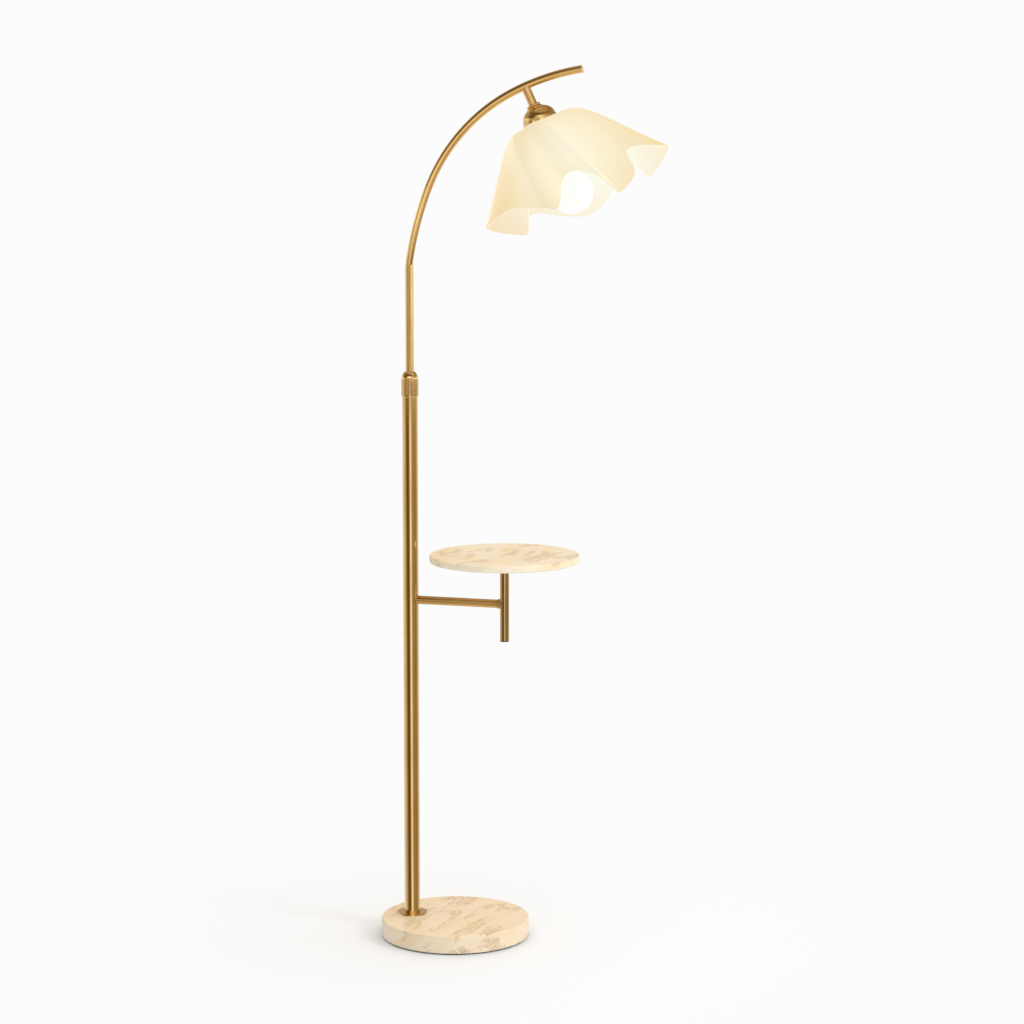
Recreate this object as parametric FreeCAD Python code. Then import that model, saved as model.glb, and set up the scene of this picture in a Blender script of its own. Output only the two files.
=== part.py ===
import FreeCAD, Part
import math
import os

# Shelf floor lamp. Millimetres, +Z up. The origin is the centre of the base's underside on the floor.
# +X runs from the pole towards the tray and the shade, so pole, arm, arc and stem lie in the XZ plane.

# Clearances and cuts
SLIP = 0.05            # radial, between fitted pieces that don't turn on each other
RUNNING = 0.06         # radial, where a tube slides and turns
SEAT_GAP = 0.3         # between pieces of different bodies that face each other
CUT_OVER = 2.0         # how far a cutting tool runs past what it cuts

# Stone base, pad and what holds the pole down
BASE_R = 140.0
BASE_TOP = 36.0
BASE_EDGE = 2.0
PAD_THICK = 2.0
PAD_INSET = 4.0
POLE_EDGE_MARGIN = 53.4  # from the pole's axis to the stone's edge
POLE_OFFSET = BASE_R - POLE_EDGE_MARGIN
POCKET_R = 20.0
POCKET_DEPTH = 15.0
ROD_R = 5.0
ROD_BORE_R = 3.5
ROD_HOLE_R = 6.0
ROD_PROUD = 3.0        # how far the rod stands out of its nut
BASE_WASHER_R = 17.0
BASE_WASHER_THICK = 2.5
BASE_NUT_FLATS = 17.0
BASE_NUT_THICK = 6.0
FLANGE_R = 29.0
FLANGE_THICK = 2.6
FLANGE_EDGE = 1.0
FOOT_PLUG_HEIGHT = 24.0
LEAD_SLOT_WIDTH = 9.0
LEAD_SLOT_DEPTH = 9.0
GROMMET_R = 4.2
GROMMET_BORE_R = 3.2
GROMMET_LENGTH = 14.0
GROMMET_LIP_R = 5.6
GROMMET_LIP_THICK = 1.6

# Pole and its locking collar
POLE_R = 14.6
POLE_WALL = 1.2
POLE_TOP = 1026.0
BUSH_DEPTH = 28.0      # of the top bush inside the pole
BUSH_LIP_THICK = 2.0
BUSH_NECK_R = 12.4
BUSH_NECK_HEIGHT = 24.0
BUSH_BORE_GAP = 0.4    # radial, round the sliding tube
CONE_SEAT_DEPTH = 12.0
CONE_SEAT_R = 10.8     # at the mouth of the neck
CLAMP_PROUD = 1.6      # how far the split clamp stands out of the neck
CLAMP_SLIT = 2.0
CLAMP_GROOVES = 3
COLLAR_R = 16.0
COLLAR_HEIGHT = 47.0
COLLAR_TOP_R = 9.6
COLLAR_SHOULDER = 13.0
COLLAR_CHAMFER = 1.4
COLLAR_OGIVE_SHARES = (0.36, 0.62)   # in and up, of the shoulder, at the middle of its curve
COLLAR_FLUTES = 16
COLLAR_FLUTE_R = 2.2
COLLAR_FLUTE_DEPTH = 0.6
COLLAR_FLUTE_MARGIN = 4.0

# Sliding upper tube
TUBE_R = 8.0
TUBE_WALL = 0.95
TUBE_TOP = 1274.0
TUBE_BOTTOM = 832.0
SLEEVE_HEIGHT = 30.0
STOP_RING_R = 10.6
STOP_RING_HEIGHT = 3.0

# Arc tube: a short lead-in bend, a slow rise, a long bend and a flatter end. Each ends at an angle from upright
ARC_TUBE_R = 7.0
ARC_WALL = 0.9
ARC_SPIGOT = 45.0
ARC_LEAD_R = 60.0
ARC_LEAD_ANGLE = 9.0
ARC_RISE_R = 606.0
ARC_RISE_ANGLE = 22.1
ARC_R = 338.4
ARC_TURN_ANGLE = 63.0
ARC_OUT_R = 445.0
ARC_END_ANGLE = 81.1
ARC_CAP_THICK = 1.2
ARC_CAP_SPIGOT = 8.0
ARC_CAP_WALL = 1.2
ARC_CAP_GAP = 0.2      # radial, for the straight spigot in the curved tube
JOINT_SCREW_R = 1.5
JOINT_SCREW_DROP = 22.0
JOINT_SCREW_LENGTH = 2.6
JOINT_SOCKET_R = 0.75
JOINT_SOCKET_DEPTH = 1.2

# Head: stem, dome and lamp holder. Its heights are along the stem, 0 at the dome's mouth, + upwards
STEM_ANGLE = 66.7      # where on the arc the stem stands
HEAD_TILT = 25.0
HEAD_DROP = 70.4       # from the arc tube's centre line to the dome's mouth
STEM_R = 8.2
STEM_SADDLE = 3.0      # how far below the arc tube's centre line the stem's saddle ends
STEM_BORE_R = 4.0
STEM_THREAD_DEPTH = 14.0
NIPPLE_R = 5.0
NIPPLE_BORE_R = 3.4
NECK_RING_R = 13.4
NECK_RING_HEIGHT = 5.0
DOME_R = 33.0
DOME_HEIGHT = 28.6
DOME_WALL = 1.0
DOME_LIP = 4.0
DOME_CROWN_R = 16.5
DOME_CROWN_HEIGHT = 2.8
DOME_BULGE_SHARES = (0.70, 0.60)     # out and up, of the bell, at the middle of its curve
DOME_TOP_R = 13.8
DOME_NUT_FLATS = 15.0
DOME_NUT_THICK = 5.0
SHADE_WASHER_R = 18.0
SHADE_WASHER_THICK = 2.0
HOLDER_CAP_HEIGHT = 24.0
HOLDER_CAP_TOP_R = 10.0
HOLDER_CAP_SHARES = (0.25, 0.78)     # in and up, of the cap, at the middle of its curve
HOLDER_BOSS_DEPTH = 9.6
HOLDER_R = 19.5
HOLDER_WALL = 2.0
HOLDER_LENGTH = 52.0
HOLDER_BORE_R = 14.6
LEDGE_DEPTH = 10.0     # from the holder body's upper end to the ledge that carries the insulator
INSULATOR_FLANGE = 3.0
INSULATOR_DEPTH = 9.0
INSULATOR_HOLE_R = 1.6
TERMINAL_R = 2.2
TERMINAL_HEIGHT = 2.0
TERMINAL_SHANK_R = 1.2
TERMINAL_RADIUS = 8.5
CONTACT_THICK = 0.6
CONTACT_WIDTH = 6.0
CONTACT_LENGTH = 9.0
SHELL_R = 14.3
SHELL_WALL = 0.4
SHELL_LENGTH = 27.0

# Bulb
BULB_R = 39.5
BULB_CENTRE = 140.0    # below the dome's mouth
BULB_NECK_PROUD = 1.5  # straight part of the neck below its screw cap
BULB_WALL = 1.0
BULB_FLARE_ANGLE = 36.0
BULB_FLARE_SHARES = (0.27, 0.60)     # out and down, of the way from neck to globe
CAP_R = 13.1
CAP_WALL = 0.5
CAP_LENGTH = 23.0
CAP_PITCH = 3.63
CAP_TURNS = 5
CAP_THREAD_DEPTH = 0.45
CAP_INSULATOR_HEIGHT = 4.0
BULB_CONTACT_R = 4.6
BULB_CONTACT_HEIGHT = 1.6
LAMP_PLATE_THICK = 1.6
LAMP_PLATE_DEPTH = 7.0

# Shade: one sheet that falls in folds from a flat top under the dome
SHADE_R = 195.0
SHADE_DROP = 180.0
SHADE_NECK_R = 31.0
SHADE_THICK = 2.6
SHADE_HOLE_GAP = 0.6
# Hem, anticlockwise from +X: angle in degrees, share of SHADE_R, share of SHADE_DROP
HEM_SHARES = [
    (0, 1.03, 0.76), (7, 0.99, 0.795), (17, 0.885, 0.865), (25.5, 0.795, 0.93),
    (29.5, 0.76, 0.96), (32.5, 0.735, 0.905), (35.5, 0.7, 0.785), (43.5, 0.63, 0.725),
    (53, 0.595, 0.785), (64, 0.59, 0.875), (75, 0.605, 0.94), (87, 0.63, 0.995),
    (98, 0.64, 1.015), (109, 0.615, 0.985), (119, 0.615, 0.925), (129.5, 0.66, 0.845),
    (138.5, 0.725, 0.755), (144.5, 0.775, 0.765), (147, 0.78, 0.915), (150.5, 0.79, 0.95),
    (159, 0.835, 0.885), (170, 0.905, 0.795), (180, 0.925, 0.735), (190, 0.84, 0.71),
    (201.5, 0.735, 0.7), (214.5, 0.665, 0.695), (228.5, 0.645, 0.72), (242, 0.67, 0.765),
    (254, 0.73, 0.825), (263.5, 0.79, 0.87), (268.5, 0.805, 0.92), (272.5, 0.795, 0.94),
    (275, 0.7, 0.865), (277.5, 0.54, 0.725), (284, 0.455, 0.64), (293, 0.455, 0.615),
    (302, 0.575, 0.675), (306.5, 0.695, 0.765), (310, 0.775, 0.87), (312.5, 0.805, 0.975),
    (315, 0.79, 1.035), (319.5, 0.775, 1.02), (323.5, 0.77, 0.995), (331.5, 0.8, 0.945),
    (337, 0.8, 0.845), (339, 0.72, 0.675), (345, 0.745, 0.62), (352, 0.91, 0.68),
]
# From neck to hem: share of the way out, of the way down, of the fold's depth, of its sideways drift
FALL_SHARES = [
    (0.0, 0.0, 0.0, 0.0), (0.12, 0.0, 0.0, 0.05), (0.275, 0.02, 0.10, 0.2), (0.405, 0.125, 0.26, 0.4),
    (0.565, 0.345, 0.45, 0.6), (0.72, 0.585, 0.64, 0.78), (0.86, 0.80, 0.83, 0.9), (1.0, 1.0, 1.0, 1.0),
]
MEAN_HEM_SHARES = (0.74, 0.793)
SHEET_DEGREE = 3

# Side arm, post and tray
ARM_Z = 644.0
ARM_R = 8.0
ARM_WALL = 1.0
ARM_REACH = 184.5      # from the pole's axis to the post's
ARM_RING_R = 9.0
ARM_RING_LENGTH = 5.0
ARM_PLUG_LENGTH = 20.0
STUD_R = 4.0
STUD_INSIDE = 6.0      # how far the stud's inner end stands from the pole's axis
RIVET_NUT_R = 5.4
RIVET_NUT_LIP_R = 7.0
RIVET_NUT_LIP = 4.0
RIVET_NUT_PROUD = 0.8
POST_R = 8.5
POST_WALL = 1.0
POST_BOTTOM = 575.2
POST_CAP_THICK = 1.6
POST_CAP_SPIGOT = 10.0
POST_CAP_WALL = 1.5
TRAY_R = 140.0
TRAY_THICK = 13.0
TRAY_TOP = 738.0
TRAY_EDGE = 2.4
TRAY_FLANGE_R = 36.0
TRAY_FLANGE_THICK = 3.0
TRAY_HUB_R = 11.5
TRAY_HUB_HEIGHT = 15.0
GRUB_R = 2.0
GRUB_LENGTH = 2.8
TRAY_SCREWS = 3
TRAY_SCREW_CIRCLE_R = 27.0
TRAY_SCREW_R = 2.0
TRAY_SCREW_LENGTH = 9.0
TRAY_HEAD_R = 3.8
TRAY_HEAD_THICK = 2.2
TRAY_SLOT = 0.9
INSERT_R = 3.4
INSERT_LENGTH = 7.0

# Worked out from the sizes above
POLE_X = -POLE_OFFSET
POLE_IN_R = POLE_R - POLE_WALL
POST_X = POLE_X + ARM_REACH
POCKET_TOP = PAD_THICK + POCKET_DEPTH
NECK_TOP = POLE_TOP + BUSH_LIP_THICK + BUSH_NECK_HEIGHT
COLLAR_BOTTOM = POLE_TOP + BUSH_LIP_THICK + SEAT_GAP
COLLAR_TOP = COLLAR_BOTTOM + COLLAR_HEIGHT
TUBE_IN_R = TUBE_R - TUBE_WALL
SLEEVE_BOTTOM = TUBE_BOTTOM + STOP_RING_HEIGHT + SEAT_GAP
ARC_IN_R = ARC_TUBE_R - ARC_WALL
SHADE_UNDERSIDE = -SEAT_GAP - SHADE_THICK
SHADE_WASHER_BOTTOM = SHADE_UNDERSIDE - SHADE_WASHER_THICK
SHADE_NUT_BOTTOM = SHADE_WASHER_BOTTOM - DOME_NUT_THICK
HOLDER_CAP_BOTTOM = SHADE_NUT_BOTTOM - HOLDER_CAP_HEIGHT
HOLDER_BOTTOM = HOLDER_CAP_BOTTOM - HOLDER_LENGTH
LEDGE = HOLDER_CAP_BOTTOM - LEDGE_DEPTH
INSULATOR_BOTTOM = LEDGE - INSULATOR_DEPTH
BULB_TOP = INSULATOR_BOTTOM - CONTACT_THICK - SEAT_GAP
CAP_TOP = BULB_TOP - BULB_CONTACT_HEIGHT - CAP_INSULATOR_HEIGHT
CAP_BOTTOM = CAP_TOP - CAP_LENGTH
CAP_IN_R = CAP_R - CAP_WALL - CAP_THREAD_DEPTH
BULB_NECK_R = CAP_IN_R - SLIP
TRAY_UNDERSIDE = TRAY_TOP - TRAY_THICK
TRAY_FLANGE_BOTTOM = TRAY_UNDERSIDE - TRAY_FLANGE_THICK
POST_TOP = TRAY_FLANGE_BOTTOM

X_AXIS = FreeCAD.Vector(1, 0, 0)
Y_AXIS = FreeCAD.Vector(0, 1, 0)
Z_AXIS = FreeCAD.Vector(0, 0, 1)


def point(x, y, z):
    return FreeCAD.Vector(x, y, z)


def rod(radius, low, high, x=0.0, y=0.0):
    """A vertical cylinder from height low to height high."""
    return Part.makeCylinder(radius, high - low, point(x, y, low), Z_AXIS)


def pipe(outer, inner, low, high, x=0.0, y=0.0):
    """A vertical tube."""
    return rod(outer, low, high, x, y).cut(rod(inner, low - CUT_OVER, high + CUT_OVER, x, y))


def rod_along(axis, radius, start, length):
    """A cylinder from start along axis."""
    return Part.makeCylinder(radius, length, start, axis)


def lathe(outline, x=0.0):
    """Turn a closed outline of (radius, height) points round a vertical axis.

    A triple of points in a row, given as a list, is an arc through its middle point.
    """
    edges = []
    last = outline[0]
    for item in outline[1:] + [outline[0]]:
        if isinstance(item, list):
            middle, end = item
            edges.append(Part.Arc(point(x + last[0], 0, last[1]), point(x + middle[0], 0, middle[1]),
                                  point(x + end[0], 0, end[1])).toShape())
            last = end
        elif item != last:
            edges.append(Part.LineSegment(point(x + last[0], 0, last[1]),
                                          point(x + item[0], 0, item[1])).toShape())
            last = item
    face = Part.Face(Part.Wire(edges))
    return face.revolve(point(x, 0, 0), Z_AXIS, 360)


def hexagon(flats, low, high, x=0.0):
    """A vertical hexagonal bar, by its width across flats."""
    corner = flats / math.sqrt(3)
    turns = [math.radians(60 * k) for k in range(7)]
    ring = [point(x + corner * math.cos(t), corner * math.sin(t), low) for t in turns]
    return Part.Face(Part.makePolygon(ring)).extrude(point(0, 0, high - low))


def round_rims(shape, radius, heights):
    """Fillet the circular edges whose centre lies at one of the heights and is the outermost there."""
    rims = []
    for height in heights:
        level = [e for e in shape.Edges if e.Curve.TypeId == "Part::GeomCircle"
                 and abs(e.Curve.Center.z - height) < SLIP and abs(e.Curve.Axis.z) > 0.5]
        rims.append(max(level, key=lambda e: e.Curve.Radius))
    return shape.makeFillet(radius, rims)


def save(name, shape):
    shape.exportStep("parts/" + name + ".step")


# Base

def make_marble_base():
    body = rod(BASE_R, PAD_THICK, BASE_TOP)
    body = round_rims(body, BASE_EDGE, [PAD_THICK, BASE_TOP])
    pocket = rod(POCKET_R, PAD_THICK - CUT_OVER, POCKET_TOP, POLE_X)
    hole = rod(ROD_HOLE_R, PAD_THICK, BASE_TOP + CUT_OVER, POLE_X)
    slot = Part.makeBox(BASE_R - POLE_OFFSET + CUT_OVER, LEAD_SLOT_WIDTH, LEAD_SLOT_DEPTH + CUT_OVER,
                        point(-BASE_R - CUT_OVER, -LEAD_SLOT_WIDTH / 2, PAD_THICK - CUT_OVER))
    return body.cut(pocket).cut(hole).cut(slot)


def make_felt_pad():
    return rod(BASE_R - PAD_INSET, 0, PAD_THICK)


def make_grommet():
    centre = PAD_THICK + LEAD_SLOT_DEPTH / 2
    barrel = rod_along(X_AXIS, GROMMET_R, point(-BASE_R - SEAT_GAP, 0, centre), GROMMET_LENGTH)
    lip_face = -BASE_R - SEAT_GAP - GROMMET_LIP_THICK
    lip = rod_along(X_AXIS, GROMMET_LIP_R, point(lip_face, 0, centre), GROMMET_LIP_THICK)
    bore = rod_along(X_AXIS, GROMMET_BORE_R, point(lip_face - CUT_OVER, 0, centre),
                     GROMMET_LENGTH + GROMMET_LIP_THICK + 2 * CUT_OVER)
    return barrel.fuse(lip).removeSplitter().cut(bore)


def make_base_washer():
    return pipe(BASE_WASHER_R, ROD_R + SLIP, POCKET_TOP - BASE_WASHER_THICK, POCKET_TOP, POLE_X)


def make_base_nut():
    top = POCKET_TOP - BASE_WASHER_THICK
    nut = hexagon(BASE_NUT_FLATS, top - BASE_NUT_THICK, top, POLE_X)
    return nut.cut(rod(ROD_R + SLIP, top - BASE_NUT_THICK - CUT_OVER, top + CUT_OVER, POLE_X))


def make_base_rod():
    low = POCKET_TOP - BASE_WASHER_THICK - BASE_NUT_THICK - ROD_PROUD
    return pipe(ROD_R, ROD_BORE_R, low, BASE_TOP + FOOT_PLUG_HEIGHT, POLE_X)


def make_base_flange():
    disc = rod(FLANGE_R, BASE_TOP, BASE_TOP + FLANGE_THICK, POLE_X)
    disc = round_rims(disc, FLANGE_EDGE, [BASE_TOP + FLANGE_THICK])
    return disc.cut(rod(POLE_R + SLIP, BASE_TOP - CUT_OVER, BASE_TOP + FLANGE_THICK + CUT_OVER, POLE_X))


def make_foot_plug():
    return pipe(POLE_IN_R - SLIP, ROD_R + SLIP, BASE_TOP, BASE_TOP + FOOT_PLUG_HEIGHT, POLE_X)


# Pole, collar and sliding tube

def make_pole():
    tube = pipe(POLE_R, POLE_IN_R, BASE_TOP, POLE_TOP, POLE_X)
    hole = rod_along(X_AXIS, RIVET_NUT_R + SLIP, point(POLE_X, 0, ARM_Z), POLE_R + CUT_OVER)
    return tube.cut(hole)


def make_top_bush():
    lip_top = POLE_TOP + BUSH_LIP_THICK
    bore = TUBE_R + BUSH_BORE_GAP
    return lathe([(bore, POLE_TOP - BUSH_DEPTH), (POLE_IN_R - SLIP, POLE_TOP - BUSH_DEPTH),
                  (POLE_IN_R - SLIP, POLE_TOP), (POLE_R, POLE_TOP), (POLE_R, lip_top),
                  (BUSH_NECK_R, lip_top), (BUSH_NECK_R, NECK_TOP), (CONE_SEAT_R, NECK_TOP),
                  (bore, NECK_TOP - CONE_SEAT_DEPTH)], POLE_X)


def make_clamp_bush():
    bore = TUBE_R + RUNNING
    seat_low = NECK_TOP - CONE_SEAT_DEPTH
    slope = (CONE_SEAT_R - TUBE_R - BUSH_BORE_GAP) / CONE_SEAT_DEPTH
    low = seat_low + CONE_SEAT_DEPTH / 4
    low_r = TUBE_R + BUSH_BORE_GAP + slope * (low - seat_low) - SLIP
    ring = lathe([(bore, low), (low_r, low), (CONE_SEAT_R - SLIP, NECK_TOP),
                  (CONE_SEAT_R - SLIP, NECK_TOP + CLAMP_PROUD), (bore, NECK_TOP + CLAMP_PROUD)], POLE_X)
    length = NECK_TOP + CLAMP_PROUD - low
    slit = Part.makeBox(CONE_SEAT_R + CUT_OVER, CLAMP_SLIT, length + 2 * CUT_OVER,
                        point(POLE_X, -CLAMP_SLIT / 2, low - CUT_OVER))
    ring = ring.cut(slit)
    for k in range(1, CLAMP_GROOVES + 1):
        groove = Part.makeBox(CONE_SEAT_R + CUT_OVER, CLAMP_SLIT / 2, length / 2 + CUT_OVER,
                              point(POLE_X, -CLAMP_SLIT / 4, low - CUT_OVER))
        groove.rotate(point(POLE_X, 0, 0), Z_AXIS, 360 * k / (CLAMP_GROOVES + 1))
        ring = ring.cut(groove)
    return ring


def make_locking_collar():
    thread_top = NECK_TOP + CLAMP_PROUD + SEAT_GAP
    bore = TUBE_R + BUSH_BORE_GAP
    neck = BUSH_NECK_R + RUNNING
    side_top = COLLAR_TOP - COLLAR_SHOULDER
    inward, up = COLLAR_OGIVE_SHARES
    middle = (COLLAR_R - (COLLAR_R - COLLAR_TOP_R) * inward, side_top + COLLAR_SHOULDER * up)
    body = lathe([(neck, COLLAR_BOTTOM), (COLLAR_R - COLLAR_CHAMFER, COLLAR_BOTTOM),
                  (COLLAR_R, COLLAR_BOTTOM + COLLAR_CHAMFER), (COLLAR_R, side_top),
                  [middle, (COLLAR_TOP_R, COLLAR_TOP)], (bore, COLLAR_TOP), (bore, thread_top),
                  (neck, thread_top)], POLE_X)
    low = COLLAR_BOTTOM + COLLAR_FLUTE_MARGIN
    high = side_top - COLLAR_FLUTE_MARGIN / 2
    reach = COLLAR_R + COLLAR_FLUTE_R - COLLAR_FLUTE_DEPTH
    for k in range(COLLAR_FLUTES):
        turn = 2 * math.pi * k / COLLAR_FLUTES
        flute = rod(COLLAR_FLUTE_R, low, high, POLE_X + reach * math.cos(turn), reach * math.sin(turn))
        body = body.cut(flute)
    return body


def make_upper_tube():
    tube = pipe(TUBE_R, TUBE_IN_R, TUBE_BOTTOM, TUBE_TOP, POLE_X)
    return tube.cut(joint_screw_hole())


def make_guide_sleeve():
    return pipe(POLE_IN_R - RUNNING, TUBE_R + RUNNING, SLEEVE_BOTTOM, SLEEVE_BOTTOM + SLEEVE_HEIGHT, POLE_X)


def make_stop_rings():
    above = SLEEVE_BOTTOM + SLEEVE_HEIGHT + SEAT_GAP
    rings = [pipe(STOP_RING_R, TUBE_R + SLIP, low, low + STOP_RING_HEIGHT, POLE_X)
             for low in (TUBE_BOTTOM, above)]
    return Part.makeCompound(rings)


# Arc tube

def arc_turns():
    """The bends of the arc: start angle, turned angle, radius and centre of each."""
    turns = []
    start = 0.0
    foot = point(POLE_X, 0, TUBE_TOP)
    for bend_r, end in ((ARC_LEAD_R, ARC_LEAD_ANGLE), (ARC_RISE_R, ARC_RISE_ANGLE), (ARC_R, ARC_TURN_ANGLE),
                        (ARC_OUT_R, ARC_END_ANGLE)):
        centre = foot + inward(start) * bend_r
        turns.append((start, end - start, bend_r, centre))
        foot = centre - inward(end) * bend_r
        start = end
    return turns


def inward(angle):
    """The direction from the arc towards its centre, where it leans by an angle from upright."""
    turn = math.radians(angle)
    return point(math.cos(turn), 0, -math.sin(turn))


def arc_point(angle):
    """A point on the last bend's centre line."""
    return arc_turns()[-1][3] - inward(angle) * ARC_OUT_R


def arc_bar(radius, spigot):
    """A solid round bar along the arc, with a straight spigot below it."""
    bar = rod(radius, TUBE_TOP - spigot, TUBE_TOP, POLE_X)
    for start, turned, bend_r, centre in arc_turns():
        disc = Part.Face(Part.Wire(Part.makeCircle(radius, point(centre.x - bend_r, 0, centre.z), Z_AXIS)))
        disc.rotate(centre, Y_AXIS, start)
        bar = bar.fuse(disc.revolve(centre, Y_AXIS, turned))
    return bar.removeSplitter()


def joint_screw_hole():
    return rod_along(Y_AXIS, JOINT_SCREW_R + SLIP, point(POLE_X, 0, TUBE_TOP - JOINT_SCREW_DROP),
                     TUBE_R + CUT_OVER)


def make_arc_tube():
    tube = arc_bar(ARC_TUBE_R, ARC_SPIGOT).cut(arc_bar(ARC_IN_R, ARC_SPIGOT))
    way_out = rod(STEM_BORE_R, HEAD_DROP - 2 * ARC_TUBE_R, HEAD_DROP)
    way_out.Placement = head_place()
    return tube.cut(way_out).cut(joint_screw_hole())


def make_joint_screw():
    top = TUBE_R - SLIP
    centre = TUBE_TOP - JOINT_SCREW_DROP
    screw = rod_along(Y_AXIS, JOINT_SCREW_R, point(POLE_X, top - JOINT_SCREW_LENGTH, centre),
                      JOINT_SCREW_LENGTH)
    socket = rod_along(Y_AXIS, JOINT_SOCKET_R, point(POLE_X, top - JOINT_SOCKET_DEPTH, centre),
                       JOINT_SOCKET_DEPTH + CUT_OVER)
    return screw.cut(socket)


def make_arc_end_cap():
    face = lathe([(0.0, 0.0), (ARC_TUBE_R, 0.0), (ARC_TUBE_R, ARC_CAP_THICK), (0.0, ARC_CAP_THICK)])
    spigot_r = ARC_IN_R - ARC_CAP_GAP
    spigot = pipe(spigot_r, spigot_r - ARC_CAP_WALL, -ARC_CAP_SPIGOT, 0.0)
    cap = face.fuse(spigot).removeSplitter()
    cap.Placement = FreeCAD.Placement(arc_point(ARC_END_ANGLE), FreeCAD.Rotation(Y_AXIS, ARC_END_ANGLE))
    return cap


# Head

def head_place():
    """Where the head stands: its own Z runs up the stem from the dome's mouth."""
    foot = arc_point(STEM_ANGLE)
    tilt = math.radians(HEAD_TILT)
    mouth = point(foot.x + HEAD_DROP * math.sin(tilt), 0, foot.z - HEAD_DROP * math.cos(tilt))
    return FreeCAD.Placement(mouth, FreeCAD.Rotation(Y_AXIS, -HEAD_TILT))


def make_stem():
    stem = pipe(STEM_R, STEM_BORE_R, DOME_HEIGHT, HEAD_DROP - STEM_SADDLE)
    stem = stem.cut(rod(NIPPLE_R + SLIP, DOME_HEIGHT - CUT_OVER, DOME_HEIGHT + STEM_THREAD_DEPTH))
    stem.Placement = head_place()
    return stem.cut(arc_bar(ARC_TUBE_R + SLIP, ARC_SPIGOT))


def make_neck_ring():
    low = DOME_HEIGHT + SLIP
    half = NECK_RING_HEIGHT / 2
    bore = STEM_R + SLIP
    return lathe([(bore, low), (NECK_RING_R - half, low), [(NECK_RING_R, low + half),
                  (NECK_RING_R - half, low + NECK_RING_HEIGHT)], (bore, low + NECK_RING_HEIGHT)])


def make_dome():
    top = DOME_HEIGHT
    bell_top = top - DOME_CROWN_HEIGHT
    out, up = DOME_BULGE_SHARES
    bulge_r = DOME_CROWN_R + (DOME_R - DOME_CROWN_R) * out
    bulge_z = DOME_LIP + (bell_top - DOME_LIP) * up
    bore = NIPPLE_R + SLIP
    wall = DOME_WALL
    return lathe([(DOME_R, 0.0), (DOME_R, DOME_LIP), (DOME_R - wall, DOME_LIP + wall / 2),
                  [(bulge_r, bulge_z), (DOME_CROWN_R, bell_top)], (DOME_CROWN_R, bell_top + wall),
                  (DOME_TOP_R, top), (bore, top), (bore, top - wall), (DOME_TOP_R - wall, top - wall),
                  (DOME_CROWN_R - wall, bell_top - wall / 2),
                  [(bulge_r - wall, bulge_z - wall), (DOME_R - 2 * wall, DOME_LIP)], (DOME_R - wall, 0.0)])


def bored_nut(flats, low, high):
    return hexagon(flats, low, high).cut(rod(NIPPLE_R + SLIP, low - CUT_OVER, high + CUT_OVER))


def make_dome_nut():
    top = DOME_HEIGHT - DOME_WALL
    return bored_nut(DOME_NUT_FLATS, top - DOME_NUT_THICK, top)


def make_nipple():
    low = SHADE_NUT_BOTTOM - HOLDER_BOSS_DEPTH
    return pipe(NIPPLE_R, NIPPLE_BORE_R, low, DOME_HEIGHT + STEM_THREAD_DEPTH)


def make_shade_washer():
    return pipe(SHADE_WASHER_R, NIPPLE_R + SLIP, SHADE_WASHER_BOTTOM, SHADE_UNDERSIDE)


def make_shade_nut():
    return bored_nut(DOME_NUT_FLATS, SHADE_NUT_BOTTOM, SHADE_WASHER_BOTTOM)


def make_holder_cap():
    low = HOLDER_CAP_BOTTOM
    top = SHADE_NUT_BOTTOM
    wall = HOLDER_WALL
    bore = NIPPLE_R + SLIP
    boss = bore + wall
    boss_low = top - HOLDER_BOSS_DEPTH
    inward, up = HOLDER_CAP_SHARES
    shoulder = (HOLDER_R - (HOLDER_R - HOLDER_CAP_TOP_R) * inward, low + HOLDER_CAP_HEIGHT * up)
    inner_shoulder = (shoulder[0] - wall, shoulder[1] - wall / 2)
    return lathe([(HOLDER_R - wall, low), (HOLDER_R, low), (HOLDER_R, low + HOLDER_CAP_HEIGHT / 2),
                  [shoulder, (HOLDER_CAP_TOP_R, top)], (bore, top), (bore, boss_low),
                  (boss, boss_low), (boss, top - wall), (HOLDER_CAP_TOP_R, top - wall),
                  [inner_shoulder, (HOLDER_R - wall, low + HOLDER_CAP_HEIGHT / 2)]])


def make_holder_body():
    upper_bore = HOLDER_R - HOLDER_WALL
    return lathe([(HOLDER_BORE_R, HOLDER_BOTTOM), (HOLDER_R, HOLDER_BOTTOM), (HOLDER_R, HOLDER_CAP_BOTTOM),
                  (upper_bore, HOLDER_CAP_BOTTOM), (upper_bore, LEDGE), (HOLDER_BORE_R, LEDGE)])


def make_holder_insulator():
    flange = HOLDER_R - HOLDER_WALL - SLIP
    core = HOLDER_BORE_R - SLIP
    body = rod(flange, LEDGE, LEDGE + INSULATOR_FLANGE).fuse(rod(core, INSULATOR_BOTTOM, LEDGE))
    body = body.removeSplitter()
    for side in (1, -1):
        hole = rod(INSULATOR_HOLE_R, INSULATOR_BOTTOM - CUT_OVER, LEDGE + INSULATOR_FLANGE + CUT_OVER,
                   side * TERMINAL_RADIUS)
        body = body.cut(hole)
    return body


def make_terminal_screws():
    top = LEDGE + INSULATOR_FLANGE
    screws = []
    for side in (1, -1):
        head = rod(TERMINAL_R, top, top + TERMINAL_HEIGHT, side * TERMINAL_RADIUS)
        shank = rod(TERMINAL_SHANK_R, INSULATOR_BOTTOM, top, side * TERMINAL_RADIUS)
        slot = Part.makeBox(2 * TERMINAL_R + CUT_OVER, TERMINAL_SHANK_R / 2, TERMINAL_HEIGHT,
                            point(side * TERMINAL_RADIUS - TERMINAL_R - CUT_OVER / 2, -TERMINAL_SHANK_R / 4,
                                  top + TERMINAL_HEIGHT / 2))
        screws.append(head.fuse(shank).removeSplitter().cut(slot))
    return Part.makeCompound(screws)


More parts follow.
